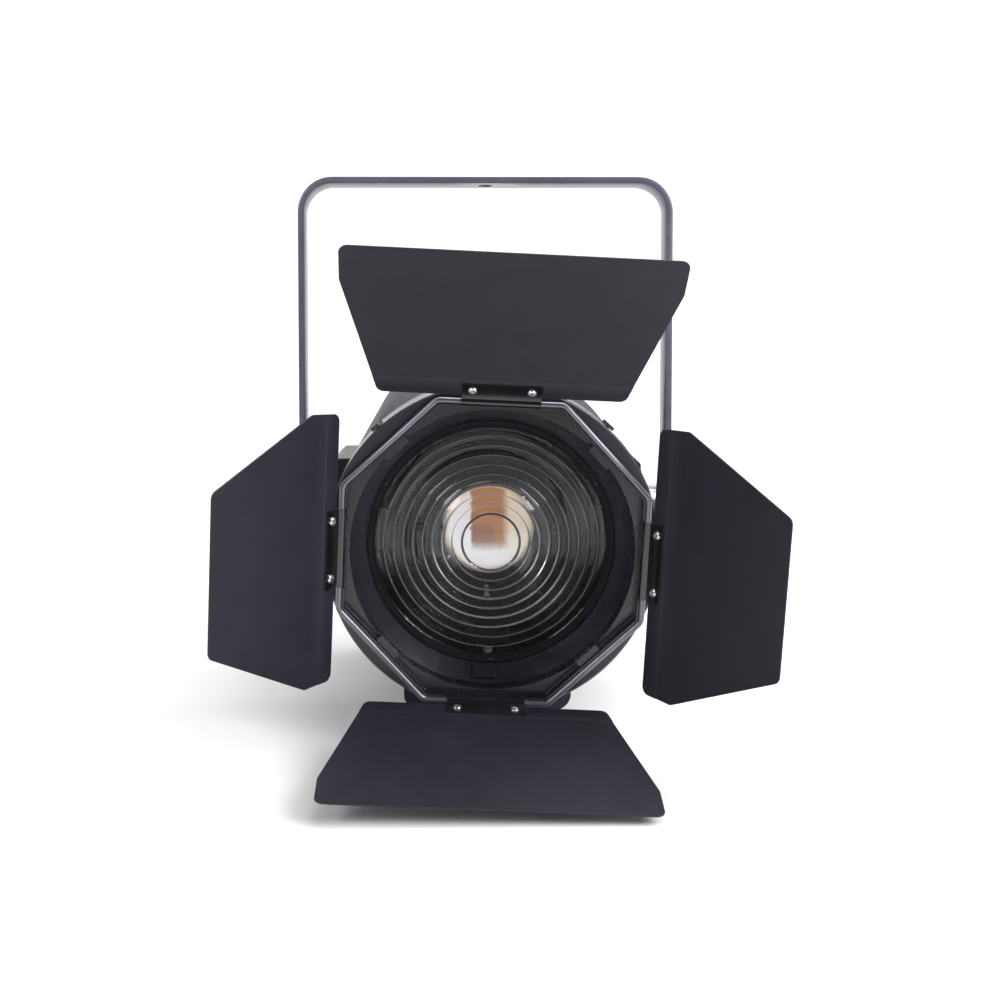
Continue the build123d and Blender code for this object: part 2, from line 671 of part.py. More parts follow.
with BuildPart() as data_sockets:
    add(connector(slots[0]).part)
    add(connector(slots[1]).part)
write_node(data_sockets, "data_sockets")

with BuildPart() as fuse_holder:
    fuse_at = section(COVER_REAR_Y + WALL, drop=-PANEL_Z, across=slots[2])
    for radius, length in (FUSE_FLANGE, FUSE_CAP):
        with BuildSketch(fuse_at):
            Circle(radius)
        extrude(amount=-length)
    with BuildSketch(fuse_at):
        Circle(FUSE_BODY[0])
    extrude(amount=FUSE_BODY[1])
    with BuildSketch(fuse_at.offset(-FUSE_CAP[1])):
        Rectangle(FUSE_SLOT[0], FUSE_SLOT[1])
    extrude(amount=FUSE_SLOT[2], mode=Mode.SUBTRACT)
write_node(fuse_holder, "fuse_holder")

for number, name in enumerate(("button_menu", "button_down", "button_up", "button_enter")):
    with BuildPart() as button:
        across = -(number - 1.5) * BUTTON_PITCH
        skirt_rear = section(COVER_REAR_Y - WALL - GAP, drop=-BUTTON_Z, across=across)
        with BuildSketch(skirt_rear):
            Circle(BUTTON_R)
        extrude(amount=-(GAP + WALL + BUTTON_STAND))
        fillet(button.edges().sort_by(Axis.Y)[-1], BUTTON_EDGE)
        with BuildSketch(skirt_rear):
            Circle(BUTTON_SKIRT[0])
        extrude(amount=BUTTON_SKIRT[1])
    write_node(button, name)

# ---------------------------------------------------------------- zoom carriage

with BuildPart() as carriage_plate:
    with BuildSketch(section(PLATE_FRONT_Y)):
        Circle(SINK_R + BOSS_R)
        Rectangle(2 * ROD_X, ARM_HEIGHT)
        with GridLocations(2 * ROD_X, 0, 2, 1):
            Circle(BOSS_R)
        with Locations((0, -SCREW_DROP / 2)):
            Rectangle(2 * NUT_BOSS_R, SCREW_DROP)
        with Locations((0, -SCREW_DROP)):
            Circle(NUT_BOSS_R)
        with GridLocations(2 * ROD_X, 0, 2, 1):
            Circle(BUSH_R, mode=Mode.SUBTRACT)
        with Locations((0, -SCREW_DROP)):
            Circle(SCREW_R + SHAFT_GAP, mode=Mode.SUBTRACT)
    extrude(amount=-PLATE_THICK)
write_node(carriage_plate, "carriage_plate")

with BuildPart() as carriage_bushes:
    with BuildSketch(section(PLATE_FRONT_Y - BUSH_NOSE)):
        with GridLocations(2 * ROD_X, 0, 2, 1):
            Circle(BUSH_R)
            Circle(ROD_R + SHAFT_GAP, mode=Mode.SUBTRACT)
    extrude(amount=-BUSH_LENGTH)
write_node(carriage_bushes, "carriage_bushes")

with BuildPart() as heat_sink:
    sink_front = section(PLATE_FRONT_Y + PLATE_THICK)
    with BuildSketch(sink_front):
        Circle(SINK_R)
    extrude(amount=-SINK_BASE)
    fin_pitch = 2 * (SINK_R - FIN_MARGIN) / (FIN_COUNT - 1)
    with BuildSketch(section(PLATE_FRONT_Y + PLATE_THICK + SINK_BASE)) as fins:
        with GridLocations(fin_pitch, 0, FIN_COUNT, 1):
            Rectangle(FIN_THICK, 2 * SINK_R)
        Circle(SINK_R, mode=Mode.INTERSECT)
    extrude(amount=-(SINK_REAR_Y - PLATE_FRONT_Y - PLATE_THICK - SINK_BASE))
write_node(heat_sink, "heat_sink")

with BuildPart() as led_array:
    with BuildSketch(section(PLATE_FRONT_Y)):
        RectangleRounded(CHIP_SIDE, CHIP_SIDE, CHIP_CORNER_R)
    extrude(amount=CHIP_THICK)
    with BuildSketch(section(PLATE_FRONT_Y - CHIP_THICK)):
        Circle(EMITTER_R)
    extrude(amount=EMITTER_THICK)
write_node(led_array, "led_array")

with BuildPart() as led_holder:
    with BuildSketch(section(PLATE_FRONT_Y)):
        Circle(HOLDER_R)
        chip_seat = CHIP_SIDE + CHIP_GAP
        RectangleRounded(chip_seat, chip_seat, CHIP_CORNER_R, mode=Mode.SUBTRACT)
    extrude(amount=CHIP_THICK)
    with BuildSketch(section(PLATE_FRONT_Y - CHIP_THICK)):
        Circle(HOLDER_R)
        Circle(EMITTER_R + HOLDER_MARGIN, mode=Mode.SUBTRACT)
    extrude(amount=HOLDER_THICK)
    chamfer(led_holder.edges().filter_by(GeomType.CIRCLE).group_by(Axis.Y)[0], HOLDER_THICK / 3)
write_node(led_holder, "led_holder")

with BuildPart() as fan_frame:
    with BuildSketch(section(SINK_REAR_Y)) as housing:
        Rectangle(2 * FAN_HALF, 2 * FAN_HALF)
        fillet(housing.vertices(), FAN_CORNER_R)
        Circle(FAN_BORE_R, mode=Mode.SUBTRACT)
    extrude(amount=-(FAN_REAR_Y - SINK_REAR_Y))
    with BuildSketch(section(FAN_REAR_Y)):
        with PolarLocations(0, FAN_ARMS, start_angle=45):
            Rectangle(FAN_BORE_R + 2, FAN_ARM_WIDTH, align=(Align.MIN, Align.CENTER))
        Circle(FAN_HUB_R + 1)
    extrude(amount=FAN_ARM_THICK)
    with BuildSketch(section(FAN_REAR_Y - FAN_ARM_THICK)):
        Circle(FAN_SHAFT_R)
    extrude(amount=FAN_SHAFT_LENGTH)
write_node(fan_frame, "fan_frame")

with BuildPart() as fan_rotor:
    with BuildSketch(section(SINK_REAR_Y + ROTOR_FRONT)):
        Circle(FAN_HUB_R)
    extrude(amount=-ROTOR_LENGTH)
    twist = radians(FAN_PITCH)
    for blade in range(FAN_BLADES):
        turn = radians(blade * 360 / FAN_BLADES)
        blade_root = Plane(
            origin=(
                BLADE_ROOT_R * sin(turn),
                SINK_REAR_Y + BLADE_MIDDLE,
                AXIS_Z + BLADE_ROOT_R * cos(turn),
            ),
            x_dir=(cos(turn) * cos(twist), sin(twist), -sin(turn) * cos(twist)),
            z_dir=(sin(turn), 0, cos(turn)),
        )
        with BuildSketch(blade_root):
            Rectangle(BLADE_WIDTH, BLADE_THICK)
        extrude(amount=BLADE_LENGTH)
    with BuildSketch(section(SINK_REAR_Y + ROTOR_BORE)):
        Circle(FAN_SHAFT_R + SHAFT_GAP)
    extrude(amount=-ROTOR_BORE_LENGTH, mode=Mode.SUBTRACT)
write_node(fan_rotor, "fan_rotor")

with BuildPart() as lead_screw:
    with BuildSketch(section(SUPPORT_REAR_Y + SCREW_REAR, drop=SCREW_DROP)):
        Circle(SCREW_R)
    extrude(amount=SUPPORT_REAR_Y + SCREW_REAR - PLATE_FRONT_Y + SCREW_NOSE)
    chamfer(lead_screw.edges().group_by(Axis.Y)[0], SCREW_BEVEL)
write_node(lead_screw, "lead_screw")

# ---------------------------------------------------------------- yoke and knobs

lean = radians(YOKE_LEAN)
YOKE_PLANE = Plane(origin=(0, 0, AXIS_Z), x_dir=(1, 0, 0), z_dir=(0, -cos(lean), sin(lean)))

bar_top = YOKE_PLANE.origin + YOKE_PLANE.y_dir * YOKE_REACH
BAR_HALF_LENGTH = YOKE_HALF_WIDTH - YOKE_BEND_R  # the top bar's straight run

with BuildPart() as yoke_arms:
    with BuildSketch(YOKE_PLANE.offset(-BAR_WIDTH / 2)) as hoop:
        Rectangle(2 * YOKE_HALF_WIDTH, YOKE_REACH, align=(Align.CENTER, Align.MIN))
        fillet(hoop.vertices().group_by(Axis.Z)[-1], YOKE_BEND_R)
        inside_half = YOKE_HALF_WIDTH - BAR_THICK
        with BuildSketch(Plane.XY, mode=Mode.PRIVATE) as inside:
            Rectangle(2 * inside_half, YOKE_REACH - BAR_THICK, align=(Align.CENTER, Align.MIN))
            fillet(inside.vertices().group_by(Axis.Y)[-1], YOKE_BEND_R - BAR_THICK)
        add(inside.sketch, mode=Mode.SUBTRACT)
        Rectangle(2 * BAR_HALF_LENGTH, YOKE_REACH, align=(Align.CENTER, Align.MIN), mode=Mode.SUBTRACT)
    extrude(amount=BAR_WIDTH)
    for side in (-1, 1):
        with BuildSketch(side_plane(YOKE_HALF_WIDTH, side)):
            Circle(BAR_WIDTH / 2)
        extrude(amount=-BAR_THICK)
        with BuildSketch(side_plane(YOKE_HALF_WIDTH, side)):
            Circle(STUD_R + SHAFT_GAP)
        extrude(amount=-BAR_THICK, mode=Mode.SUBTRACT)
write_node(yoke_arms, "yoke_arms")

with BuildPart() as yoke_bar:
    with BuildSketch(Plane(origin=bar_top, x_dir=(1, 0, 0), z_dir=YOKE_PLANE.y_dir)):
        Rectangle(2 * BAR_HALF_LENGTH, BAR_WIDTH)
        Circle(YOKE_BOLT_R, mode=Mode.SUBTRACT)
    extrude(amount=-BAR_THICK)
write_node(yoke_bar, "yoke_bar")

with BuildPart() as knob_washers:
    for side in (-1, 1):
        with BuildSketch(side_plane(YOKE_HALF_WIDTH, side)):
            Circle(KNOB_WASHER_R)
            Circle(STUD_R + GAP, mode=Mode.SUBTRACT)
        extrude(amount=KNOB_WASHER)
write_node(knob_washers, "knob_washers")

for side, hand in ((-1, "left"), (1, "right")):
    with BuildPart() as tilt_knob:
        with BuildSketch(side_plane(KNOB_IN_X, side)):
            Circle(KNOB_NECK_R)
        extrude(amount=KNOB_NECK + 1)
        with BuildSketch(side_plane(KNOB_IN_X + KNOB_NECK, side)):
            Circle(KNOB_R)
            with PolarLocations(KNOB_LOBE_CENTRE_R, KNOB_LOBES):
                Circle(KNOB_LOBE_R)
        extrude(amount=KNOB_GRIP)
        fillet(tilt_knob.faces().sort_by(Axis.X)[-1 if side > 0 else 0].edges(), KNOB_EDGE)
        with BuildSketch(side_plane(KNOB_IN_X, side)):
            Circle(STUD_R + SHAFT_GAP)
        extrude(amount=KNOB_BORE, mode=Mode.SUBTRACT)
    write_node(tilt_knob, f"tilt_knob_{hand}")

    with BuildPart() as frame_lock_screw:
        with BuildSketch(lock_plane(side).offset(GAP)):
            Circle(LOCK_HEAD_R)
            with PolarLocations(LOCK_HEAD_R - LOCK_RIB_R / 2, LOCK_RIBS):
                Circle(LOCK_RIB_R)
        extrude(amount=LOCK_HEAD)
        with BuildSketch(lock_plane(side).offset(GAP)):
            Circle(LOCK_SHANK_R)
        extrude(amount=-(RING_R - COLLAR_R + LOCK_TIP))
    write_node(frame_lock_screw, f"frame_lock_screw_{hand}")

# ---------------------------------------------------------------- barn door frame

with BuildPart() as barn_frame:
    with BuildSketch(rolled_section(PAN_PLATE_Y + PAN_WALL)) as pan_outline:
        RegularPolygon(PAN_APOTHEM, RIM_SIDES, major_radius=False, rotation=RIM_TURN)
        fillet(pan_outline.vertices(), WIRE_BEND_R - WIRE_R)
    extrude(amount=PAN_PLATE_Y + PAN_WALL - RIM_Y)
    with BuildSketch(rolled_section(PAN_PLATE_Y)) as pan_inside:
        RegularPolygon(PAN_APOTHEM - PAN_WALL, RIM_SIDES, major_radius=False, rotation=RIM_TURN)
        fillet(pan_inside.vertices(), WIRE_BEND_R - WIRE_R - PAN_WALL)
    extrude(amount=PAN_PLATE_Y - RIM_Y, mode=Mode.SUBTRACT)
    with BuildSketch(rolled_section(COLLAR_REAR_Y)):
        Circle(COLLAR_R)
    extrude(amount=COLLAR_REAR_Y - PAN_PLATE_Y - PAN_WALL)
    with BuildSketch(rolled_section(COLLAR_REAR_Y)):
        Circle(PAN_OPENING_R)
    extrude(amount=COLLAR_REAR_Y - RIM_Y, mode=Mode.SUBTRACT)
    with BuildSketch(rolled_section(RING_FRONT_Y + COLLAR_GROOVE_REAR)):
        Circle(COLLAR_R + 1)
        Circle(COLLAR_R - COLLAR_GROOVE, mode=Mode.SUBTRACT)
    extrude(amount=COLLAR_GROOVE_WIDTH, mode=Mode.SUBTRACT)
    with BuildSketch(rolled_section(COLLAR_REAR_Y)):
        with Locations((0, -COLLAR_R)):
            Rectangle(2 * NOTCH_HALF, 2 * NOTCH_WIDTH)
        Circle(PAN_OPENING_R - 1, mode=Mode.SUBTRACT)
    extrude(amount=NOTCH_WIDTH, mode=Mode.SUBTRACT)
    with BuildSketch(rolled_section(RIM_Y)):
        with PolarLocations(PAN_APOTHEM, 4):
            Rectangle(CLIP_RELIEF[0], 2 * (CLIP_HALF_WIDTH + CLIP_RELIEF_MARGIN))
    extrude(amount=-CLIP_RELIEF[1], mode=Mode.SUBTRACT)
write_node(barn_frame, "barn_frame")

with BuildPart() as rim_wire:
    with BuildLine(rolled_section(RIM_Y)) as wire_path:
        corner = HINGE_R / cos(radians(RIM_TURN))
        turns = [radians(RIM_TURN + 2 * RIM_TURN * number) for number in range(RIM_SIDES)]
        corners = [(corner * cos(turn), corner * sin(turn)) for turn in turns]
        FilletPolyline(*corners, radius=WIRE_BEND_R, close=True)
    with BuildSketch(Plane(origin=wire_path.line @ 0, z_dir=wire_path.line % 0)):
        Circle(WIRE_R)
    sweep()
write_node(rim_wire, "rim_wire")

with BuildPart() as filter_clips:
    for direction in (45, 135, 225, 315):
        turn = radians(direction - ROLL)
        outward = Vector(cos(turn), 0, sin(turn))
        foot = outward * (PAN_APOTHEM - PAN_WALL) + Vector(0, PAN_PLATE_Y, AXIS_Z)
        along = outward.cross(FRONT)
        with BuildSketch(Plane(origin=foot, x_dir=FRONT, z_dir=along)) as clip_profile:
            with BuildLine():
                Polyline(
                    (0, 0),
                    (FILTER_CLIP_REACH, 0),
                    (FILTER_CLIP_REACH, FILTER_CLIP_LIP),
                    (FILTER_CLIP_REACH - 1, FILTER_CLIP_LIP),
                    (FILTER_CLIP_REACH - 1, 1),
                    (1, 1),
                    (1, FILTER_CLIP_FOOT),
                    (0, FILTER_CLIP_FOOT),
                    close=True,
                )
            make_face()
        extrude(amount=FILTER_CLIP_HALF, both=True)
write_node(filter_clips, "filter_clips")

# ---------------------------------------------------------------- leaves

for place, (direction, angle) in LEAF_ANGLES.items():
    hinge = leaf_frame(direction, angle)
    screw_spots = [(-LEAF_SCREW_T, LEAF_SCREW_V), (LEAF_SCREW_T, LEAF_SCREW_V)]

    with BuildPart() as leaf:
        with BuildSketch(hinge.offset(-LEAF_DROP)) as outline:
            corners = WIDE_LEAF if place in ("top", "bottom") else SIDE_LEAF
            mirrored = [(-across, out) for across, out in reversed(corners)]
            Polygon(*corners, *mirrored, align=None)
            fillet(outline.vertices(), LEAF_CORNER_R)
            with Locations(*screw_spots):
                Circle(HINGE_SCREW_R, mode=Mode.SUBTRACT)
        extrude(amount=-LEAF_SHEET)
    write_node(leaf, f"leaf_{place}")

    with BuildPart() as hinge_clip:
        with BuildSketch(Plane(origin=hinge.origin, x_dir=hinge.y_dir, z_dir=hinge.x_dir)):
            Circle(WIRE_R + SHAFT_GAP + CLIP_SHEET)
            with Locations((WIRE_R + CLIP_START, -LEAF_DROP)):
                Rectangle(CLIP_PLATE, CLIP_SHEET, align=(Align.MIN, Align.MIN))
            Circle(WIRE_R + SHAFT_GAP, mode=Mode.SUBTRACT)
        extrude(amount=CLIP_HALF_WIDTH, both=True)
        with BuildSketch(hinge.offset(2 * CLIP_SHEET)):
            with Locations(*screw_spots):
                Circle(HINGE_SCREW_R)
        extrude(amount=-4 * CLIP_SHEET, mode=Mode.SUBTRACT)
    write_node(hinge_clip, f"hinge_clip_{place}")

    with BuildPart() as leaf_screws:
        with BuildSketch(hinge.offset(CLIP_SHEET - LEAF_DROP)):
            with Locations(*screw_spots):
                Circle(HINGE_SCREW_HEAD_R)
        extrude(amount=HINGE_SCREW_HEAD)
        with BuildSketch(hinge.offset(CLIP_SHEET - LEAF_DROP)):
            with Locations(*screw_spots):
                Circle(HINGE_SCREW_R - SHAFT_GAP)
        extrude(amount=-HINGE_SCREW_LENGTH)
        with BuildSketch(hinge.offset(-LEAF_DROP - LEAF_SHEET)):
            with Locations(*screw_spots):
                RegularPolygon(HINGE_NUT_R, 6)
        extrude(amount=-HINGE_NUT)
    write_node(leaf_screws, f"leaf_screws_{place}")
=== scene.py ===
"""Looks of the LED fresnel spotlight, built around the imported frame.

Metres, +Z up, the lens faces -Y. The pieces stand where the frame's nodes, joints and mounts put them;
the lens and the trim on it have their own named places. Sizes passed to the builders are in mm.
"""

import json
from math import cos, pi, radians, sin, sqrt, tan

import bmesh
import bpy
from mathutils import Matrix, Vector


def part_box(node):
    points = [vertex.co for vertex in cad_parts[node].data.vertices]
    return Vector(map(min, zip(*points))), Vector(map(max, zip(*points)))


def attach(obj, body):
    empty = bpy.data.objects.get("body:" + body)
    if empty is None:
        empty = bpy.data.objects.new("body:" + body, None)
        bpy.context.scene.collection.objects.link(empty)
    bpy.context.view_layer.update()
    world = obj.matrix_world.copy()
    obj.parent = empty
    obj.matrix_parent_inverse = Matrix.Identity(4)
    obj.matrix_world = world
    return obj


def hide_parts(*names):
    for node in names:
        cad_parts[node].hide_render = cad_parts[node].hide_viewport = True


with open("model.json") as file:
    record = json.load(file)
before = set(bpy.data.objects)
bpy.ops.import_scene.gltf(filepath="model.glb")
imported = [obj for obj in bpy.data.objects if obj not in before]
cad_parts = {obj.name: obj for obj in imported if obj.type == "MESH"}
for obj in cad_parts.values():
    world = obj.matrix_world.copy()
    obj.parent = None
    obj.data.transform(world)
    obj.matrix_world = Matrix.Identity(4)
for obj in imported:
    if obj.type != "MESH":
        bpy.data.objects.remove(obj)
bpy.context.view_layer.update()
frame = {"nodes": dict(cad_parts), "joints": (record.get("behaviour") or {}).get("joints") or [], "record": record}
NODES = frame["nodes"]
BODY_OF = {node: body for body, nodes in frame["record"]["behaviour"]["bodies"].items() for node in nodes}
SLOT_OF = {part["node"]: part["material_slot"] for part in frame["record"]["subparts"]}
JOINTS = {joint["name"]: joint for joint in frame["joints"]}
MM = 0.001

OPTICAL_Z = JOINTS["barn_frame_turn"]["pos_m"][2]
RIM_Y = JOINTS["barn_frame_turn"]["pos_m"][1]
FRONT = Vector((0, -1, 0))
HANDS = {"left": -1, "right": 1}  # each hand and its sign along X


# ---------------------------------------------------------------- camera, light and floor

CAMERA_PLACE = (-0.0442, -1.2257, 0.4008)
CAMERA_PITCH = 8.138  # degrees below level
CAMERA_YAW = -0.904
CAMERA_LENS = 47.43  # mm, on a sensor 36 mm wide
CAMERA_SHIFT = (0.041, -0.045)


def place_camera():
    """The camera stands a little to the left, above the lens, looking slightly down."""
    data = bpy.data.cameras.new("view")
    camera = bpy.data.objects.new("view", data)
    bpy.context.scene.collection.objects.link(camera)
    camera.location = CAMERA_PLACE
    camera.rotation_euler = (radians(90 - CAMERA_PITCH), 0, radians(CAMERA_YAW))
    data.sensor_width = 36
    data.lens = CAMERA_LENS
    data.shift_x, data.shift_y = CAMERA_SHIFT
    data.clip_start = 0.01
    bpy.context.scene.camera = camera


def soft_light(name, place, towards, size, power):
    """A rectangular softbox: its place and target in metres, its power in watts."""
    data = bpy.data.lights.new(name, "AREA")
    data.shape = "RECTANGLE"
    data.size, data.size_y = size
    data.energy = power
    lamp = bpy.data.objects.new(name, data)
    bpy.context.scene.collection.objects.link(lamp)
    lamp.location = place
    direction = Vector(towards) - Vector(place)
    lamp.rotation_euler = direction.to_track_quat("-Z", "Y").to_euler()


ROOM_FADE = (-0.6, 0.25)  # the direction's Y between which the room brightens
ROOM_STRENGTH = (0.08, 1.0)
ROOM_TINT = (0.93, 0.93, 1.0)
FILL_TINT = (0.97, 0.97, 1.0)
FILL_STRENGTH = 0.36


def light_world():
    """White to the camera; reflections see a bright room, darker behind the camera; the fill is weaker."""
    world = bpy.data.worlds.new("studio")
    bpy.context.scene.world = world
    world.use_nodes = True
    nodes, links = world.node_tree.nodes, world.node_tree.links
    nodes.clear()
    place = nodes.new("ShaderNodeTexCoord")
    split = nodes.new("ShaderNodeSeparateXYZ")
    links.new(place.outputs["Generated"], split.inputs[0])
    depth = nodes.new("ShaderNodeMapRange")
    depth.inputs["From Min"].default_value, depth.inputs["From Max"].default_value = ROOM_FADE
    depth.inputs["To Min"].default_value, depth.inputs["To Max"].default_value = ROOM_STRENGTH
    links.new(split.outputs["Y"], depth.inputs["Value"])
    room = nodes.new("ShaderNodeBackground")
    room.inputs["Color"].default_value = (*ROOM_TINT, 1)
    links.new(depth.outputs[0], room.inputs["Strength"])
    fill = nodes.new("ShaderNodeBackground")
    fill.inputs["Color"].default_value = (*FILL_TINT, 1)
    fill.inputs["Strength"].default_value = FILL_STRENGTH
    backdrop = nodes.new("ShaderNodeBackground")
    backdrop.inputs["Color"].default_value = (1, 1, 1, 1)
    backdrop.inputs["Strength"].default_value = 1.0
    path = nodes.new("ShaderNodeLightPath")
    lighting = nodes.new("ShaderNodeMixShader")
    links.new(path.outputs["Is Diffuse Ray"], lighting.inputs[0])
    links.new(room.outputs[0], lighting.inputs[1])
    links.new(fill.outputs[0], lighting.inputs[2])
    mix = nodes.new("ShaderNodeMixShader")
    links.new(path.outputs["Is Camera Ray"], mix.inputs[0])
    links.new(lighting.outputs[0], mix.inputs[1])
    links.new(backdrop.outputs[0], mix.inputs[2])
    output = nodes.new("ShaderNodeOutputWorld")
    links.new(mix.outputs[0], output.inputs["Surface"])


SWEEP_HALF = 4.0
SWEEP_FRONT_Y = -3.5
SWEEP_TURN_Y = 1.6
SWEEP_TURN_R = 1.2
SWEEP_TOP = 4.5
SWEEP_STEPS = 24


def lay_floor():
    """A seamless white sweep: flat under the object, then curving up behind it."""
    sweep = bmesh.new()
    profile = [(SWEEP_FRONT_Y, 0.0), (SWEEP_TURN_Y, 0.0)]
    for a in [pi / 2 * k / SWEEP_STEPS for k in range(1, SWEEP_STEPS + 1)]:
        profile.append((SWEEP_TURN_Y + SWEEP_TURN_R * sin(a), SWEEP_TURN_R - SWEEP_TURN_R * cos(a)))
    profile.append((SWEEP_TURN_Y + SWEEP_TURN_R, SWEEP_TOP))
    rows = [[sweep.verts.new((x, y, z)) for x in (-SWEEP_HALF, SWEEP_HALF)] for y, z in profile]
    for low, high in zip(rows, rows[1:]):
        sweep.faces.new((low[0], low[1], high[1], high[0]))
    mesh = bpy.data.meshes.new("floor")
    sweep.to_mesh(mesh)
    sweep.free()
    for face in mesh.polygons:
        face.use_smooth = True
    floor = bpy.data.objects.new("floor", mesh)
    bpy.context.scene.collection.objects.link(floor)
    white = bpy.data.materials.new("backdrop_paper")
    white.use_nodes = True
    shader = white.node_tree.nodes["Principled BSDF"]
    shader.inputs["Base Color"].default_value = (0.86, 0.86, 0.86, 1)
    shader.inputs["Roughness"].default_value = 0.9
    shader.inputs["Specular IOR Level"].default_value = 0.1
    mesh.materials.append(white)


place_camera()
light_world()
lay_floor()
soft_light("key", (1.55, -0.9, 1.45), (0, 0, 0.1), (1.3, 1.3), 46)
soft_light("top", (0.6, 0.1, 2.4), (0, 0, 0.1), (1.6, 1.4), 36)
soft_light("front_left", (-1.35, -1.35, 1.25), (0, -0.1, 0.17), (0.8, 0.8), 15)
soft_light("front_right", (1.45, -1.25, 1.15), (0, -0.1, 0.17), (0.8, 0.8), 8)
soft_light("backdrop_wash", (0.0, 1.0, 2.6), (0, 2.6, 0.8), (3.0, 0.8), 40)
bpy.context.scene.view_settings.view_transform = "Standard"


# ---------------------------------------------------------------- materials

GLOSS_SPREAD = 0.08  # how far the roughness wanders either way
COAT_ROUGHNESS = 0.12
MOTTLE_MM, GLOSS_MM = 28, 9  # sizes of the patches of colour and of gloss
RELIEF_MM = 0.05


def material(name, colour, roughness, metallic=0.0, specular=0.5, grain=1.0, bump=0.1, mottle=0.15,
             coat=0.0, stretch=(1, 1, 1)):
    """A painted, moulded or machined surface: grain in mm, with mottled colour and uneven gloss."""
    made = bpy.data.materials.new(name)
    made.use_nodes = True
    nodes, links = made.node_tree.nodes, made.node_tree.links
    shader = nodes["Principled BSDF"]
    shader.inputs["Metallic"].default_value = metallic
    shader.inputs["Specular IOR Level"].default_value = specular
    shader.inputs["Coat Weight"].default_value = coat
    shader.inputs["Coat Roughness"].default_value = COAT_ROUGHNESS
    place = nodes.new("ShaderNodeTexCoord")
    mapping = nodes.new("ShaderNodeMapping")
    mapping.inputs["Scale"].default_value = stretch
    links.new(place.outputs["Object"], mapping.inputs["Vector"])

    def noise(size_mm, detail, roughen=0.5):
        texture = nodes.new("ShaderNodeTexNoise")
        texture.inputs["Scale"].default_value = 1 / (size_mm * MM)
        texture.inputs["Detail"].default_value = detail
        texture.inputs["Roughness"].default_value = roughen
        links.new(mapping.outputs[0], texture.inputs["Vector"])
        return texture.outputs["Fac"]

    ramp = nodes.new("ShaderNodeValToRGB")
    dark = [channel * (1 - mottle) for channel in colour]
    light = [min(1.0, channel * (1 + mottle) + 0.002) for channel in colour]
    ramp.color_ramp.elements[0].position = 0.3
    ramp.color_ramp.elements[0].color = (*dark, 1)
    ramp.color_ramp.elements[1].position = 0.7
    ramp.color_ramp.elements[1].color = (*light, 1)
    links.new(noise(MOTTLE_MM, 4, 0.6), ramp.inputs[0])
    links.new(ramp.outputs[0], shader.inputs["Base Color"])
    gloss = nodes.new("ShaderNodeMapRange")
    gloss.inputs["To Min"].default_value = max(0.03, roughness - GLOSS_SPREAD)
    gloss.inputs["To Max"].default_value = min(1.0, roughness + GLOSS_SPREAD)
    links.new(noise(GLOSS_MM, 3, 0.65), gloss.inputs["Value"])
    links.new(gloss.outputs[0], shader.inputs["Roughness"])
    relief = nodes.new("ShaderNodeBump")
    relief.inputs["Strength"].default_value = bump
    relief.inputs["Distance"].default_value = RELIEF_MM * MM
    links.new(noise(grain, 2), relief.inputs["Height"])
    links.new(relief.outputs[0], shader.inputs["Normal"])
    return made


def glass(name, colour, roughness, ior):
    """Clear glass with a faint satin bloom on its surface."""
    made = bpy.data.materials.new(name)
    made.use_nodes = True
    shader = made.node_tree.nodes["Principled BSDF"]
    shader.inputs["Base Color"].default_value = (*colour, 1)
    shader.inputs["Roughness"].default_value = roughness
    shader.inputs["Transmission Weight"].default_value = 1.0
    shader.inputs["IOR"].default_value = ior
    shader.inputs["Coat Weight"].default_value = 0.3
    shader.inputs["Coat IOR"].default_value = 1.5
    shader.inputs["Coat Roughness"].default_value = 0.45
    return made


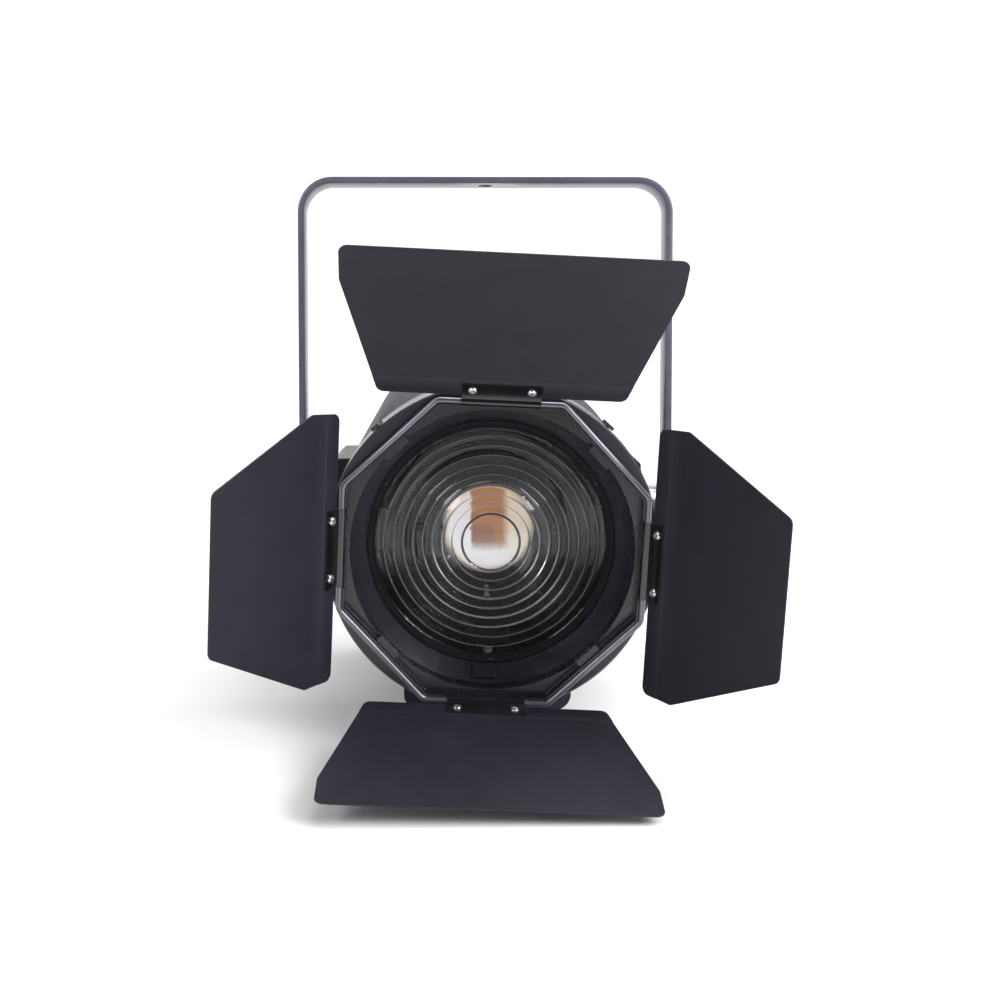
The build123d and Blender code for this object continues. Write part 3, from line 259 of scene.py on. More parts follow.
FINISH = {
    "cast_paint": material("cast_paint", (0.0095, 0.0095, 0.016), 0.3, grain=0.8, bump=0.12, coat=0.15),
    "shell_paint": material("shell_paint", (0.014, 0.014, 0.024), 0.5, specular=0.3, grain=0.8, bump=0.15),
    "leaf_paint": material("leaf_paint", (0.0115, 0.0115, 0.020), 0.5, specular=0.35, grain=0.5, bump=0.2,
                           mottle=0.1),
    # painted shade: a darker copy of the black paint, for the retaining ring down in the throat
    "throat_shade_paint": material("throat_shade_paint", (0.005, 0.005, 0.008), 0.55, specular=0.2, grain=0.6,
                             bump=0.1),
    "clip_paint": material("clip_paint", (0.004, 0.004, 0.005), 0.16, grain=2.5, bump=0.05, coat=0.5),
    "rim_paint": material("rim_paint", (0.009, 0.009, 0.015), 0.28, grain=0.8, bump=0.12, coat=0.2),
    "wire_steel": material("wire_steel", (0.17, 0.17, 0.20), 0.34, metallic=0.9, grain=0.6, bump=0.1,
                           mottle=0.1),
    "yoke_paint": material("yoke_paint", (0.075, 0.075, 0.105), 0.3, grain=0.8, bump=0.15, coat=0.2),
    "zinc_steel": material("zinc_steel", (0.66, 0.67, 0.70), 0.26, metallic=1.0, grain=0.6, bump=0.08,
                           mottle=0.06),
    "ground_steel": material("ground_steel", (0.55, 0.56, 0.58), 0.22, metallic=1.0, grain=0.25, bump=0.1,
                             mottle=0.05, stretch=(1, 0.05, 1)),
    "black_plastic": material("black_plastic", (0.012, 0.012, 0.013), 0.48, grain=0.4, bump=0.3),
    "gasket_rubber": material("gasket_rubber", (0.012, 0.012, 0.012), 0.75, grain=0.6, bump=0.2),
    "raw_aluminium": material("raw_aluminium", (0.60, 0.61, 0.63), 0.33, metallic=1.0, grain=0.3, bump=0.12,
                              mottle=0.05, stretch=(1, 0.08, 1)),
    "black_aluminium": material("black_aluminium", (0.016, 0.016, 0.019), 0.38, metallic=0.4, grain=0.5,
                                bump=0.15),
    "brass": material("brass", (0.62, 0.45, 0.18), 0.3, metallic=1.0, grain=0.3, bump=0.1, mottle=0.08),
    "board_green": material("board_green", (0.01, 0.09, 0.04), 0.35, grain=1.2, bump=0.3, mottle=0.3),
    "led_phosphor": material("led_phosphor", (0.80, 0.45, 0.12), 0.35, grain=0.8, bump=0.2),
    "display_plastic": material("display_plastic", (0.008, 0.012, 0.02), 0.08, grain=4, bump=0.02,
                                coat=0.5),
    "button_plastic": material("button_plastic", (0.16, 0.16, 0.17), 0.4, grain=0.4, bump=0.2),
    "blue_plastic": material("blue_plastic", (0.02, 0.07, 0.38), 0.4, grain=0.4, bump=0.2),
    "fibre": material("fibre", (0.16, 0.1, 0.06), 0.8, grain=0.5, bump=0.4, mottle=0.3),
    "lens_glass": glass("lens_glass", (0.985, 0.985, 1.0), 0.02, 1.47),
    # painted highlight: an opaque light grey laid on a band of each lens crest to stand in for its bright glint
    "lens_crest_highlight": material("lens_crest_highlight", (0.17, 0.17, 0.19), 0.4, specular=0.8, grain=0.5, bump=0.1,
                            coat=0.3),
    "dark_steel": material("dark_steel", (0.05, 0.05, 0.055), 0.35, metallic=1.0, grain=0.5, bump=0.1),
    "white_silicone": material("white_silicone", (0.75, 0.74, 0.70), 0.4, grain=1.2, bump=0.2, mottle=0.05),
    "dust_mesh": material("dust_mesh", (0.03, 0.03, 0.032), 0.8, grain=0.9, bump=1.0, mottle=0.4),
}

for name, node in NODES.items():
    node.data.materials.clear()
    node.data.materials.append(FINISH[SLOT_OF[name]])


# ---------------------------------------------------------------- building pieces

FLAT_TURN = radians(1)  # faces that meet flatter than this are one face
SHARP_TURN = radians(32)  # edges that turn more than this stay crisp


def finish_as(obj, node, *others, finish=None):
    """obj stands for those CAD nodes: it rides on their body and takes the named finish or their own."""
    obj.data.materials.clear()
    obj.data.materials.append(FINISH[finish or SLOT_OF[node]])
    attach(obj, BODY_OF[node])
    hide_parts(node, *others)


def part_of(obj, node, finish):
    """An extra visible piece that rides with a CAD node."""
    obj.data.materials.clear()
    obj.data.materials.append(FINISH[finish])
    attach(obj, BODY_OF[node])
    return obj


def to_object(name, shape, place=None):
    """The finished bmesh as an object, smooth but for its crisp edges."""
    if place is not None:
        shape.transform(place)
    bmesh.ops.recalc_face_normals(shape, faces=shape.faces)
    mesh = bpy.data.meshes.new(name)
    shape.to_mesh(mesh)
    shape.free()
    mesh.polygons.foreach_set("use_smooth", [True] * len(mesh.polygons))
    mesh.set_sharp_from_angle(angle=SHARP_TURN)
    obj = bpy.data.objects.new(name, mesh)
    bpy.context.scene.collection.objects.link(obj)
    return obj


def round_edges(obj, width_mm, steps=2, turn=SHARP_TURN):
    """Rounds the crisp edges."""
    bevel = obj.modifiers.new("round_edges", "BEVEL")
    bevel.width = width_mm * MM
    bevel.segments = steps
    bevel.limit_method = "ANGLE"
    bevel.angle_limit = turn
    bevel.harden_normals = True
    bevel.miter_outer = "MITER_ARC"
    return obj


def apply_modifiers(obj):
    """Bakes the modifiers into the mesh."""
    graph = bpy.context.evaluated_depsgraph_get()
    graph.update()
    baked = bpy.data.meshes.new_from_object(obj.evaluated_get(graph))
    obj.modifiers.clear()
    obj.data = baked
    return obj


def carve(obj, *cutters):
    """Cuts the cutters out of obj and removes them."""
    for cutter in cutters:
        cut = obj.modifiers.new("cut", "BOOLEAN")
        cut.operation = "DIFFERENCE"
        cut.solver = "EXACT"
        cut.object = cutter
    bpy.context.view_layer.update()
    apply_modifiers(obj)
    for cutter in cutters:
        bpy.data.objects.remove(cutter)
    obj.data.polygons.foreach_set("use_smooth", [True] * len(obj.data.polygons))
    obj.data.set_sharp_from_angle(angle=SHARP_TURN)
    return obj


def join(name, *objs):
    """Several objects' meshes as one."""
    whole = bmesh.new()
    for obj in objs:
        bpy.context.view_layer.update()
        piece = obj.data.copy()
        piece.transform(obj.matrix_world)
        whole.from_mesh(piece)
        bpy.data.meshes.remove(piece)
        bpy.data.objects.remove(obj)
    return to_object(name, whole)


def dressed(node, width_mm, steps=2):
    """The CAD node's own shape with clean faces and rounded edges."""
    shape = bmesh.new()
    shape.from_mesh(NODES[node].data)
    bmesh.ops.remove_doubles(shape, verts=shape.verts, dist=0.002 * MM)
    bmesh.ops.dissolve_limit(shape, angle_limit=FLAT_TURN, verts=shape.verts, edges=shape.edges)
    obj = to_object(f"{node}_skin", shape)
    if width_mm:
        round_edges(obj, width_mm, steps)
    finish_as(obj, node)


def lathe(profile, place, steps=96):
    """A bmesh turned round local Z from (radius, height) in mm; closed where the ends meet the axis."""
    shape = bmesh.new()
    rings = []
    for radius, height in profile:
        if radius < 1e-6:
            rings.append([shape.verts.new((0, 0, height * MM))])
        else:
            turns = [2 * pi * step / steps for step in range(steps)]
            points = [(radius * MM * cos(a), radius * MM * sin(a), height * MM) for a in turns]
            rings.append([shape.verts.new(point) for point in points])
    for low, high in zip(rings, rings[1:]):
        for step in range(steps):
            following = (step + 1) % steps
            corners = [low[step % len(low)], low[following % len(low)]]
            corners += [high[following % len(high)], high[step % len(high)]]
            unique = list(dict.fromkeys(corners))
            if len(unique) > 2:
                shape.faces.new(unique)
    shape.transform(place)
    return shape


def closed_lathe(profile, place, steps=96):
    """The same for a profile that is a closed loop."""
    return lathe([*profile, profile[0]], place, steps)


def slab(outline, bottom, top, place):
    """An upright block over an outline in mm."""
    shape = bmesh.new()
    low = [shape.verts.new((x * MM, y * MM, bottom * MM)) for x, y in outline]
    high = [shape.verts.new((x * MM, y * MM, top * MM)) for x, y in outline]
    shape.faces.new(low)
    shape.faces.new(high)
    for here in range(len(low)):
        following = (here + 1) % len(low)
        shape.faces.new((low[here], low[following], high[following], high[here]))
    shape.transform(place)
    return shape


def rounded(corners, radius, steps=6):
    """A polygon with its corners rounded."""
    points = []
    count = len(corners)
    for here in range(count):
        corner = Vector(corners[here])
        back = (Vector(corners[here - 1]) - corner).normalized()
        ahead = (Vector(corners[(here + 1) % count]) - corner).normalized()
        half = back.angle(ahead) / 2
        reach = radius / tan(half)
        centre = corner + (back + ahead).normalized() * (radius / sin(half))
        start = corner + back * reach - centre
        end = corner + ahead * reach - centre
        for step in range(steps + 1):
            spoke = start.normalized().slerp(end.normalized(), step / steps)
            points.append(tuple(centre + spoke * radius))
    return points


def rectangle(width, height, radius=0.0, steps=5):
    """A rectangle round the origin."""
    corners = [(width / 2 * x, height / 2 * y) for x, y in ((-1, -1), (1, -1), (1, 1), (-1, 1))]
    return rounded(corners, radius, steps) if radius else corners


def frame_at(origin, z_axis, x_axis):
    """A placing matrix from its origin and two of its axes."""
    z = Vector(z_axis).normalized()
    x = (Vector(x_axis) - z * Vector(x_axis).dot(z)).normalized()
    y = z.cross(x)
    matrix = Matrix.Identity(4)
    for column, axis in enumerate((x, y, z)):
        for row in range(3):
            matrix[row][column] = axis[row]
    matrix.translation = Vector(origin)
    return matrix


def facing_front(y, across=0.0, up=0.0):
    """A plane across the optical axis, in metres: local Z to the front, local Y up."""
    return frame_at((across, y, OPTICAL_Z + up), (0, -1, 0), (1, 0, 0))


def facing_back(y, across=0.0, up=0.0):
    """The same, looking to the rear."""
    return frame_at((across, y, OPTICAL_Z + up), (0, 1, 0), (-1, 0, 0))


def tube(points, radius_mm, steps=20, closed=False):
    """A bmesh tube along points in metres."""
    shape = bmesh.new()
    count = len(points)
    normal = None
    rings = []
    for here in range(count):
        if closed:
            ahead = points[(here + 1) % count] - points[here - 1]
        else:
            ahead = points[min(here + 1, count - 1)] - points[max(here - 1, 0)]
        ahead = ahead.normalized()
        if normal is None:
            normal = ahead.orthogonal().normalized()
        normal = (normal - ahead * normal.dot(ahead)).normalized()
        side = ahead.cross(normal)
        turns = [2 * pi * step / steps for step in range(steps)]
        spokes = [(normal * cos(a) + side * sin(a)) * radius_mm * MM for a in turns]
        rings.append([shape.verts.new(points[here] + spoke) for spoke in spokes])
    pairs = list(zip(rings, rings[1:])) + ([(rings[-1], rings[0])] if closed else [])
    for low, high in pairs:
        for step in range(steps):
            following = (step + 1) % steps
            shape.faces.new((low[step], low[following], high[following], high[step]))
    if not closed:
        shape.faces.new(rings[0])
        shape.faces.new(rings[-1])
    return shape


HEAD_EDGE = 0.15
HEAD_WALL = 0.35  # the upright share of a screw head's height, and the flat share of its radius
HEAD_STEPS = 7
RECESS_WIDTH = 0.62
RECESS_DEPTH = 0.95


def cross_head(place, radius, height, recess=2.0):
    """A pan-head screw with a cross recess: local Z points out of the head's seat."""
    profile = [(0, 0), (radius - HEAD_EDGE, 0), (radius, HEAD_EDGE), (radius, HEAD_WALL * height)]
    dome = 1 - HEAD_WALL
    for step in range(1, HEAD_STEPS):
        turn = pi / 2 * step / HEAD_STEPS
        profile.append((radius * (HEAD_WALL + dome * cos(turn)), height * (HEAD_WALL + dome * sin(turn))))
    profile.append((0, height))
    head = to_object("head", lathe(profile, place, 40))
    cutters = []
    for turn in (pi / 4, 3 * pi / 4):
        turned = place @ Matrix.Rotation(turn, 4, "Z")
        bar = slab(rectangle(2 * recess, RECESS_WIDTH), height - RECESS_DEPTH, height + 1, turned)
        cutters.append(to_object("recess", bar))
    return carve(head, *cutters)


SCREW_END_R = 1.8
SCREW_END = 1.1  # how far it stands out of its nut
SCREW_END_EDGE = 0.4


def hex_nut(place, across_flats, height):
    """A chamfered nut with the screw's end showing in it."""
    circle = across_flats / sqrt(3)
    corners = [(circle * cos(pi / 3 * k), circle * sin(pi / 3 * k)) for k in range(6)]
    nut = round_edges(to_object("nut", slab(corners, 0, height, place)), 0.25, 2)
    end = height + SCREW_END
    profile = [(0, 0), (SCREW_END_R, 0), (SCREW_END_R, end - SCREW_END_EDGE)]
    profile += [(SCREW_END_R - SCREW_END_EDGE, end), (0, end)]
    shank = to_object("shank", lathe(profile, place, 24))
    apply_modifiers(nut)
    return join("nut", nut, shank)


# ---------------------------------------------------------------- barn door leaves

# in mm, in a leaf's own frame: across the hinge, and out from the rim wire
SHEET = 1.5
DROP = 0.4  # from the wire's centre to the leaf's face
LEAF_START = 6.0
LEAF_END = 146.0
LEAF_CORNER_R = 7
LEAF_TILT = 20  # degrees that the middle of the fold's range stands off the optical axis
WIDE_LEAF = [(98.7, LEAF_START), (127.5, LEAF_END - 31), (127.5, LEAF_END)]
SIDE_LEAF = [(109.3, LEAF_START), (110.5, LEAF_START + 32), (60.7, LEAF_END)]
STEP_START = 20.5  # the joggle beside the hinge
STEP_END = 22.5
STEP_DEPTH = 0.7
WIRE_R = 2.5
CLIP_HALF = 32.0
CLIP_SHEET = 1.05
CLIP_GAP = 0.08
CLIP_END = 19.0
CLIP_WRAP = (22, 342)  # degrees of the roll round the wire
CLIP_STEPS = 40
SCREW_ACROSS = 23.5
SCREW_OUT = 12.5
SCREW_HEAD_R = 3.6
SCREW_HEAD = 2.0
NUT_ACROSS = 6.4
NUT_HEIGHT = 2.4
SHEET_EDGE_TURN = radians(50)  # only a sheet's own edges turn more than this


def leaf_place(side):
    """The leaf's own frame: origin on the rim wire, x along the hinge, y away from it, z to the beam."""
    joint = JOINTS[f"leaf_{side}_fold"]
    middle = sum(joint["range_deg"]) / 2 if "range_deg" in joint else 0.0
    tilt = radians(LEAF_TILT + middle if side in ("top", "bottom") else LEAF_TILT - middle)
    origin = Vector(joint["pos_m"])
    outward = (origin - Vector((0, origin.y, OPTICAL_Z))).normalized()
    facing = FRONT * sin(tilt) - outward * cos(tilt)
    away = FRONT * cos(tilt) + outward * sin(tilt)
    return frame_at(origin, facing, away.cross(facing))


def make_leaf(side):
    """Sheet steel with a shallow joggle beside the hinge and a rounded edge all round."""
    corners = WIDE_LEAF if side in ("top", "bottom") else SIDE_LEAF
    outline = rounded([*corners, *[(-x, y) for x, y in reversed(corners)]], LEAF_CORNER_R, 10)
    shape = slab(outline, -DROP - SHEET, -DROP, Matrix.Identity(4))
    for height in (STEP_START, (STEP_START + STEP_END) / 2, STEP_END):
        every = list(shape.verts) + list(shape.edges) + list(shape.faces)
        bmesh.ops.bisect_plane(shape, geom=every, plane_co=(0, height * MM, 0), plane_no=(0, 1, 0))
    for vert in shape.verts:
        share = min(1, max(0, (vert.co.y / MM - STEP_START) / (STEP_END - STEP_START)))
        vert.co.z -= STEP_DEPTH * MM * share * share * (3 - 2 * share)
    leaf = to_object(f"leaf_{side}_sheet", shape, leaf_place(side))
    round_edges(leaf, 0.55, 3, SHEET_EDGE_TURN)
    finish_as(leaf, f"leaf_{side}")


def make_hinge_clip(side):
    """A sprung plate whose knuckle is rolled round the rim wire."""
    inner = WIRE_R + CLIP_GAP
    outer = inner + CLIP_SHEET
    start, end = [radians(turn) for turn in CLIP_WRAP]
    turns = [start + (end - start) * step / CLIP_STEPS for step in range(CLIP_STEPS + 1)]
    plate_low, plate_high = -DROP, CLIP_SHEET - DROP
    knuckle = [(CLIP_END, plate_low), (CLIP_END, plate_high)]
    knuckle += [(outer + 0.8, plate_high), (outer + 0.1, plate_high + 0.25)]
    knuckle += [(outer * cos(a), outer * sin(a)) for a in turns]
    knuckle += [(inner * cos(a), inner * sin(a)) for a in reversed(turns)]
    knuckle += [(inner + 0.02, plate_low + 0.1), (outer + 0.3, plate_low)]
    place = leaf_place(side)
    across = frame_at(place.translation, place.col[0].xyz, place.col[1].xyz)
    clip = to_object(f"hinge_clip_{side}_plate", slab(knuckle, -CLIP_HALF, CLIP_HALF, across))
    round_edges(clip, 0.22, 2, SHEET_EDGE_TURN)
    finish_as(clip, f"hinge_clip_{side}")


def make_leaf_screws(side):
    """Two cross-head screws in front and their nuts behind the sheet."""
    place = leaf_place(side)
    pieces = []
    for number, across in enumerate((-SCREW_ACROSS, SCREW_ACROSS)):
        spot = Matrix.Translation((across * MM, SCREW_OUT * MM, (CLIP_SHEET - DROP) * MM))
        turn = Matrix.Rotation(radians(12 + 31 * number), 4, "Z")  # no two heads point the same way
        pieces.append(cross_head(place @ spot @ turn, SCREW_HEAD_R, SCREW_HEAD))
        behind = Matrix.Translation((across * MM, SCREW_OUT * MM, -(DROP + SHEET) * MM))
        flipped = Matrix.Rotation(pi, 4, "X")
        pieces.append(hex_nut(place @ behind @ flipped, NUT_ACROSS, NUT_HEIGHT))
    finish_as(join(f"leaf_screws_{side}_pair", *pieces), f"leaf_screws_{side}")


for side in ("top", "right", "bottom", "left"):
    make_leaf(side)
    make_hinge_clip(side)
    make_leaf_screws(side)


# ---------------------------------------------------------------- barn door frame and front ring

RIM_CORNER_R = 9
WIRE_STEPS = 28
# from the optical axis to the top leaf's hinge, which shows how far the barn door is turned
ROLL = Vector(JOINTS["leaf_top_fold"]["pos_m"]) - Vector((0, RIM_Y, OPTICAL_Z))
ROLL_TURN = -Vector((0, 0, 1)).angle(ROLL) * (1 if ROLL.x > 0 else -1)
HINGE_R = ROLL.length / MM


def rolled(y):
    """A plane across the optical axis, turned with the barn door."""
    return facing_front(y) @ Matrix.Rotation(ROLL_TURN, 4, "Z")


def make_rim_wire():
    """The octagonal hinge wire, bent from one length."""
    corner = HINGE_R / cos(pi / 8)
    turns = [pi / 8 + pi / 4 * k for k in range(8)]
    octagon = [(corner * cos(a), corner * sin(a)) for a in turns]
    place = rolled(RIM_Y)
    points = [place @ Vector((x * MM, y * MM, 0)) for x, y in rounded(octagon, RIM_CORNER_R, 10)]
    dense = []
    for here, point in enumerate(points):
        following = points[(here + 1) % len(points)]
        dense.append(point)
        if (following - point).length > 10 * MM:
            dense += [point.lerp(following, share) for share in (0.02, 0.5, 0.98)]
    wire = to_object("rim_wire_bent", tube(dense, WIRE_R, WIRE_STEPS, closed=True))
    finish_as(wire, "rim_wire")


make_rim_wire()
dressed("barn_frame", 0.45, 3)
dressed("filter_clips", 0.3, 2)
dressed("front_ring", 0.7, 3)
for hand in HANDS:
    dressed(f"frame_lock_screw_{hand}", 0.3, 2)

LUG_PLACE = (-0.006, -0.1455, OPTICAL_Z - 0.1100)
LUG_FACING = (0, -0.62, 0.78)  # square to the ring's throat
LUG_SIZE = (20, 12)


def ring_lug():
    """A cast lug on the ring's throat, at its foot."""
    cone = frame_at(LUG_PLACE, LUG_FACING, (1, 0, 0))
    lug = to_object("front_ring_lug", slab(rectangle(*LUG_SIZE, 1.5), -3, 2.2, cone))
    part_of(round_edges(lug, 0.6, 3), "front_ring", "cast_paint")


ring_lug()


# ---------------------------------------------------------------- lens

LENS_CREST_Y = -0.134  # metres; the lens's other sizes are in mm
LENS_BACK_Y = -0.125
LENS_R = 104.0
LENS_EDGE = 0.4
FACETS = 9
PITCH = 8.17
CROWN_R = 25.0
CROWN_RISE = 1.2
CROWN_SAG = 3.2
CROWN_STEPS = 16
SLOPE_R = 84.6  # a facet's slope is its radius over this, up to a limit
SLOPE_LIMIT = 0.62
BULGE = 0.12
CREST_HIGHLIGHT = (0.02, 0.5)  # the painted highlight line on each crest, from its inner edge: opaque grey faces in place of the crest's glint
LENS_STEPS = 256


def make_lens():
    """Stepped plano-convex glass: each facet falls away outwards, then steps forward to the next crest."""
    crest = -LENS_CREST_Y / MM
    back = -LENS_BACK_Y / MM
    profile = [(0, back), (LENS_R - LENS_EDGE, back), (LENS_R, back + LENS_EDGE)]
    profile += [(LENS_R, crest - 1 - LENS_EDGE), (LENS_R - LENS_EDGE, crest - 1)]
    for number in reversed(range(FACETS)):
        inner = CROWN_R + number * PITCH
        slope = min(inner / SLOPE_R, SLOPE_LIMIT)
        fall = slope * (PITCH - 0.9)
        outer = inner + PITCH - 0.35
        profile.append((outer, crest - fall - 0.05))
        profile.append((outer - 0.35, crest - fall))
        for share in (0.75, 0.5, 0.25):
            bulge = BULGE * sin(pi * share)
            radius = inner + 0.55 + (outer - inner - 0.9) * share
            profile.append((radius, crest - fall * share + bulge - 0.02))
        profile.append((inner + 0.55, crest - 0.02))
        profile.append((inner + 0.3, crest + 0.06))
        profile.append((inner + 0.08, crest - 0.05))
    top = crest + CROWN_RISE
    dome = (CROWN_R**2 + CROWN_SAG**2) / (2 * CROWN_SAG)
    for share in [1 - k / CROWN_STEPS for k in range(1, CROWN_STEPS)]:
        radius = CROWN_R * share
        profile.append((radius, top - (dome - sqrt(dome**2 - radius**2))))
    profile.append((0, top))
    lens = to_object("lens_stepped", lathe(profile, facing_front(0.0), LENS_STEPS))
    lens.data.set_sharp_from_angle(angle=radians(24))
    finish_as(lens, "lens")
    # painted highlight: a band just past each crest's inner edge gets the opaque grey instead of glass
    lens.data.materials.append(FINISH["lens_crest_highlight"])
    for face in lens.data.polygons:
        radius = Vector((face.center.x, face.center.z - OPTICAL_Z)).length / MM
        past_crest = (radius - CROWN_R) % PITCH
        at_crest = radius < LENS_R - 3 and face.center.y < LENS_CREST_Y + 0.2 * MM
        if at_crest and CREST_HIGHLIGHT[0] < past_crest < CREST_HIGHLIGHT[1]:
            face.material_index = 1


RETAINER_FRONT = 136.0
RETAINER_BACK = 133.0
RETAINER_INNER_R = 97.8
RETAINER_OUTER_R = 104.4
RETAINER_SCREWS_R = 101.8
GROOVE_DEPTH = 0.5


def make_retaining_ring():
    """A thin ring with a turned groove over the lens edge, in black paint darkened as painted shade, and three
    cross-head screws.
    """
    front, back = RETAINER_FRONT, RETAINER_BACK
    inner, outer = RETAINER_INNER_R, RETAINER_OUTER_R
    groove = front - GROOVE_DEPTH
    profile = [(inner, back), (outer, back), (outer, groove), (outer - GROOVE_DEPTH, front)]
    profile += [(inner + 2.6, front), (inner + 2.2, groove), (inner + 1.4, groove)]
    profile += [(inner + 1.0, front), (inner + 0.4, front), (inner, front - 0.4)]
    turned = closed_lathe(profile, facing_front(0.0), LENS_STEPS)
    ring = to_object("lens_retaining_ring_turned", turned)
    round_edges(ring, 0.12, 2)
    # painted shade: the ring takes the darkened black paint
    finish_as(ring, "lens_retaining_ring", finish="throat_shade_paint")
    for number in range(3):
        turn = radians(30 + 120 * number)
        reach = RETAINER_SCREWS_R * MM
        spot = facing_front(-front * MM, reach * cos(turn), reach * sin(turn))
        screw = part_of(cross_head(spot, 1.9, 0.9, 1.1), "lens_retaining_ring", "rim_paint")
        screw.name = f"ring_screw_{number + 1}"


make_lens()
make_retaining_ring()


# ---------------------------------------------------------------- lamp and zoom carriage

LED_FACE_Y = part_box("led_array")[0].y
HOLDER_FACE_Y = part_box("led_holder")[0].y
EMITTER_R = 29.0
CHIP_PITCH = 2.4
# zones of the chip array in mm from its centre: where each edge is, and how soft it is
BAND_LEFT = (-12.0, 1.2)
BAND_RIGHT = (12.5, 4.0)
BAND_FOOT = (-13.0, 4.5)
BLOCK_RIGHT = (4.5, 1.2)
BLOCK_TOP = (1.0, 3.0)
# across this span the cool fields turn darker and warmer towards the upper right
DRIFT_EDGE = (2.0, 22.0)
RIM_EDGE = (27.5, 2.2)
COOL = (0.80, 0.79, 0.80)
COOL_UPPER_RIGHT = (0.66, 0.56, 0.42)
WARM = (0.30, 0.10, 0.004)
WARM_BLOCK = (0.20, 0.055, 0.002)
RIM_COLOUR = (0.50, 0.38, 0.22)
GAP_COLOUR = (0.12, 0.07, 0.03)
# painted glow: the chips' own colour is also emitted at this strength
PAINTED_GLOW = 0.72


def phosphor():
    """Chips under silicone, with a painted faint glow: a warm band down the middle and cool fields beside it."""
    made = bpy.data.materials.new("led_two_colour")
    made.use_nodes = True
    nodes, links = made.node_tree.nodes, made.node_tree.links
    shader = nodes["Principled BSDF"]

    def maths(operation, one, two=None):
        node = nodes.new("ShaderNodeMath")
        node.operation = operation
        for socket, value in zip(node.inputs, (one, two)):
            if value is None:
                continue
            if isinstance(value, (int, float)):
                socket.default_value = value
            else:
                links.new(value, socket)
        return node.outputs[0]

    def blend_colour(share, low, high):
        node = nodes.new("ShaderNodeMix")
        node.data_type = "RGBA"
        for socket, value in ((node.inputs[0], share), (node.inputs[6], low), (node.inputs[7], high)):
            if isinstance(value, tuple):
                socket.default_value = (*value, 1)
            else:
                links.new(value, socket)
        return node.outputs[2]

    def edge(value, middle, softness):
        node = nodes.new("ShaderNodeMapRange")
        node.interpolation_type = "SMOOTHSTEP"
        node.inputs["From Min"].default_value = (middle - softness) * MM
        node.inputs["From Max"].default_value = (middle + softness) * MM
        links.new(value, node.inputs["Value"])
        return node.outputs[0]

    place = nodes.new("ShaderNodeTexCoord")
    split = nodes.new("ShaderNodeSeparateXYZ")
    links.new(place.outputs["Object"], split.inputs[0])
    across = split.outputs["X"]
    up = maths("SUBTRACT", split.outputs["Z"], OPTICAL_Z)
    noise = nodes.new("ShaderNodeTexNoise")
    noise.inputs["Scale"].default_value = 160
    noise.inputs["Detail"].default_value = 3
    links.new(place.outputs["Object"], noise.inputs["Vector"])
    wander = maths("MULTIPLY", maths("SUBTRACT", noise.outputs["Fac"], 0.5), 5 * MM)
    sideways = maths("ADD", across, wander)
    upright = maths("ADD", up, wander)
    right_of_left = edge(sideways, *BAND_LEFT)
    left_of_right = maths("SUBTRACT", 1.0, edge(sideways, *BAND_RIGHT))
    above_foot = edge(upright, *BAND_FOOT)
    band = maths("MULTIPLY", maths("MULTIPLY", right_of_left, left_of_right), above_foot)
    left_of_block = maths("SUBTRACT", 1.0, edge(sideways, *BLOCK_RIGHT))
    under_block = maths("SUBTRACT", 1.0, edge(upright, *BLOCK_TOP))
    block = maths("MULTIPLY", left_of_block, under_block)
    drift = edge(maths("ADD", upright, maths("MULTIPLY", sideways, 0.9)), *DRIFT_EDGE)
    cool = blend_colour(drift, COOL, COOL_UPPER_RIGHT)
    warm = blend_colour(block, WARM, WARM_BLOCK)
    colour = blend_colour(band, cool, warm)
    radius = maths("SQRT", maths("ADD", maths("MULTIPLY", across, across), maths("MULTIPLY", up, up)))
    rim = edge(radius, *RIM_EDGE)
    colour = blend_colour(rim, colour, RIM_COLOUR)
    cells = nodes.new("ShaderNodeTexVoronoi")
    cells.feature = "F1"
    cells.distance = "CHEBYCHEV"
    cells.inputs["Scale"].default_value = 1 / (CHIP_PITCH * MM)
    cells.inputs["Randomness"].default_value = 0.05
    links.new(place.outputs["Object"], cells.inputs["Vector"])
    chip = nodes.new("ShaderNodeMapRange")
    chip.inputs["From Min"].default_value = 0.3
    chip.inputs["From Max"].default_value = 0.52
    chip.inputs["To Min"].default_value = 1.0
    chip.inputs["To Max"].default_value = 0.86
    links.new(cells.outputs["Distance"], chip.inputs["Value"])
    colour = blend_colour(maths("SUBTRACT", 1.0, chip.outputs[0]), colour, GAP_COLOUR)
    links.new(colour, shader.inputs["Base Color"])
    links.new(colour, shader.inputs["Emission Color"])
    shader.inputs["Emission Strength"].default_value = PAINTED_GLOW
    shader.inputs["Roughness"].default_value = 0.28
    shader.inputs["Coat Weight"].default_value = 0.3
    return made


FINISH["led_two_colour"] = phosphor()


CARRIER_BACK = 2.8  # behind the array's front face
CARRIER_FACE = 1.3
CARRIER_SIDE = 70
SILICONE_RISE = 0.15
SILICONE_SAG = 0.35
SILICONE_STEPS = 12


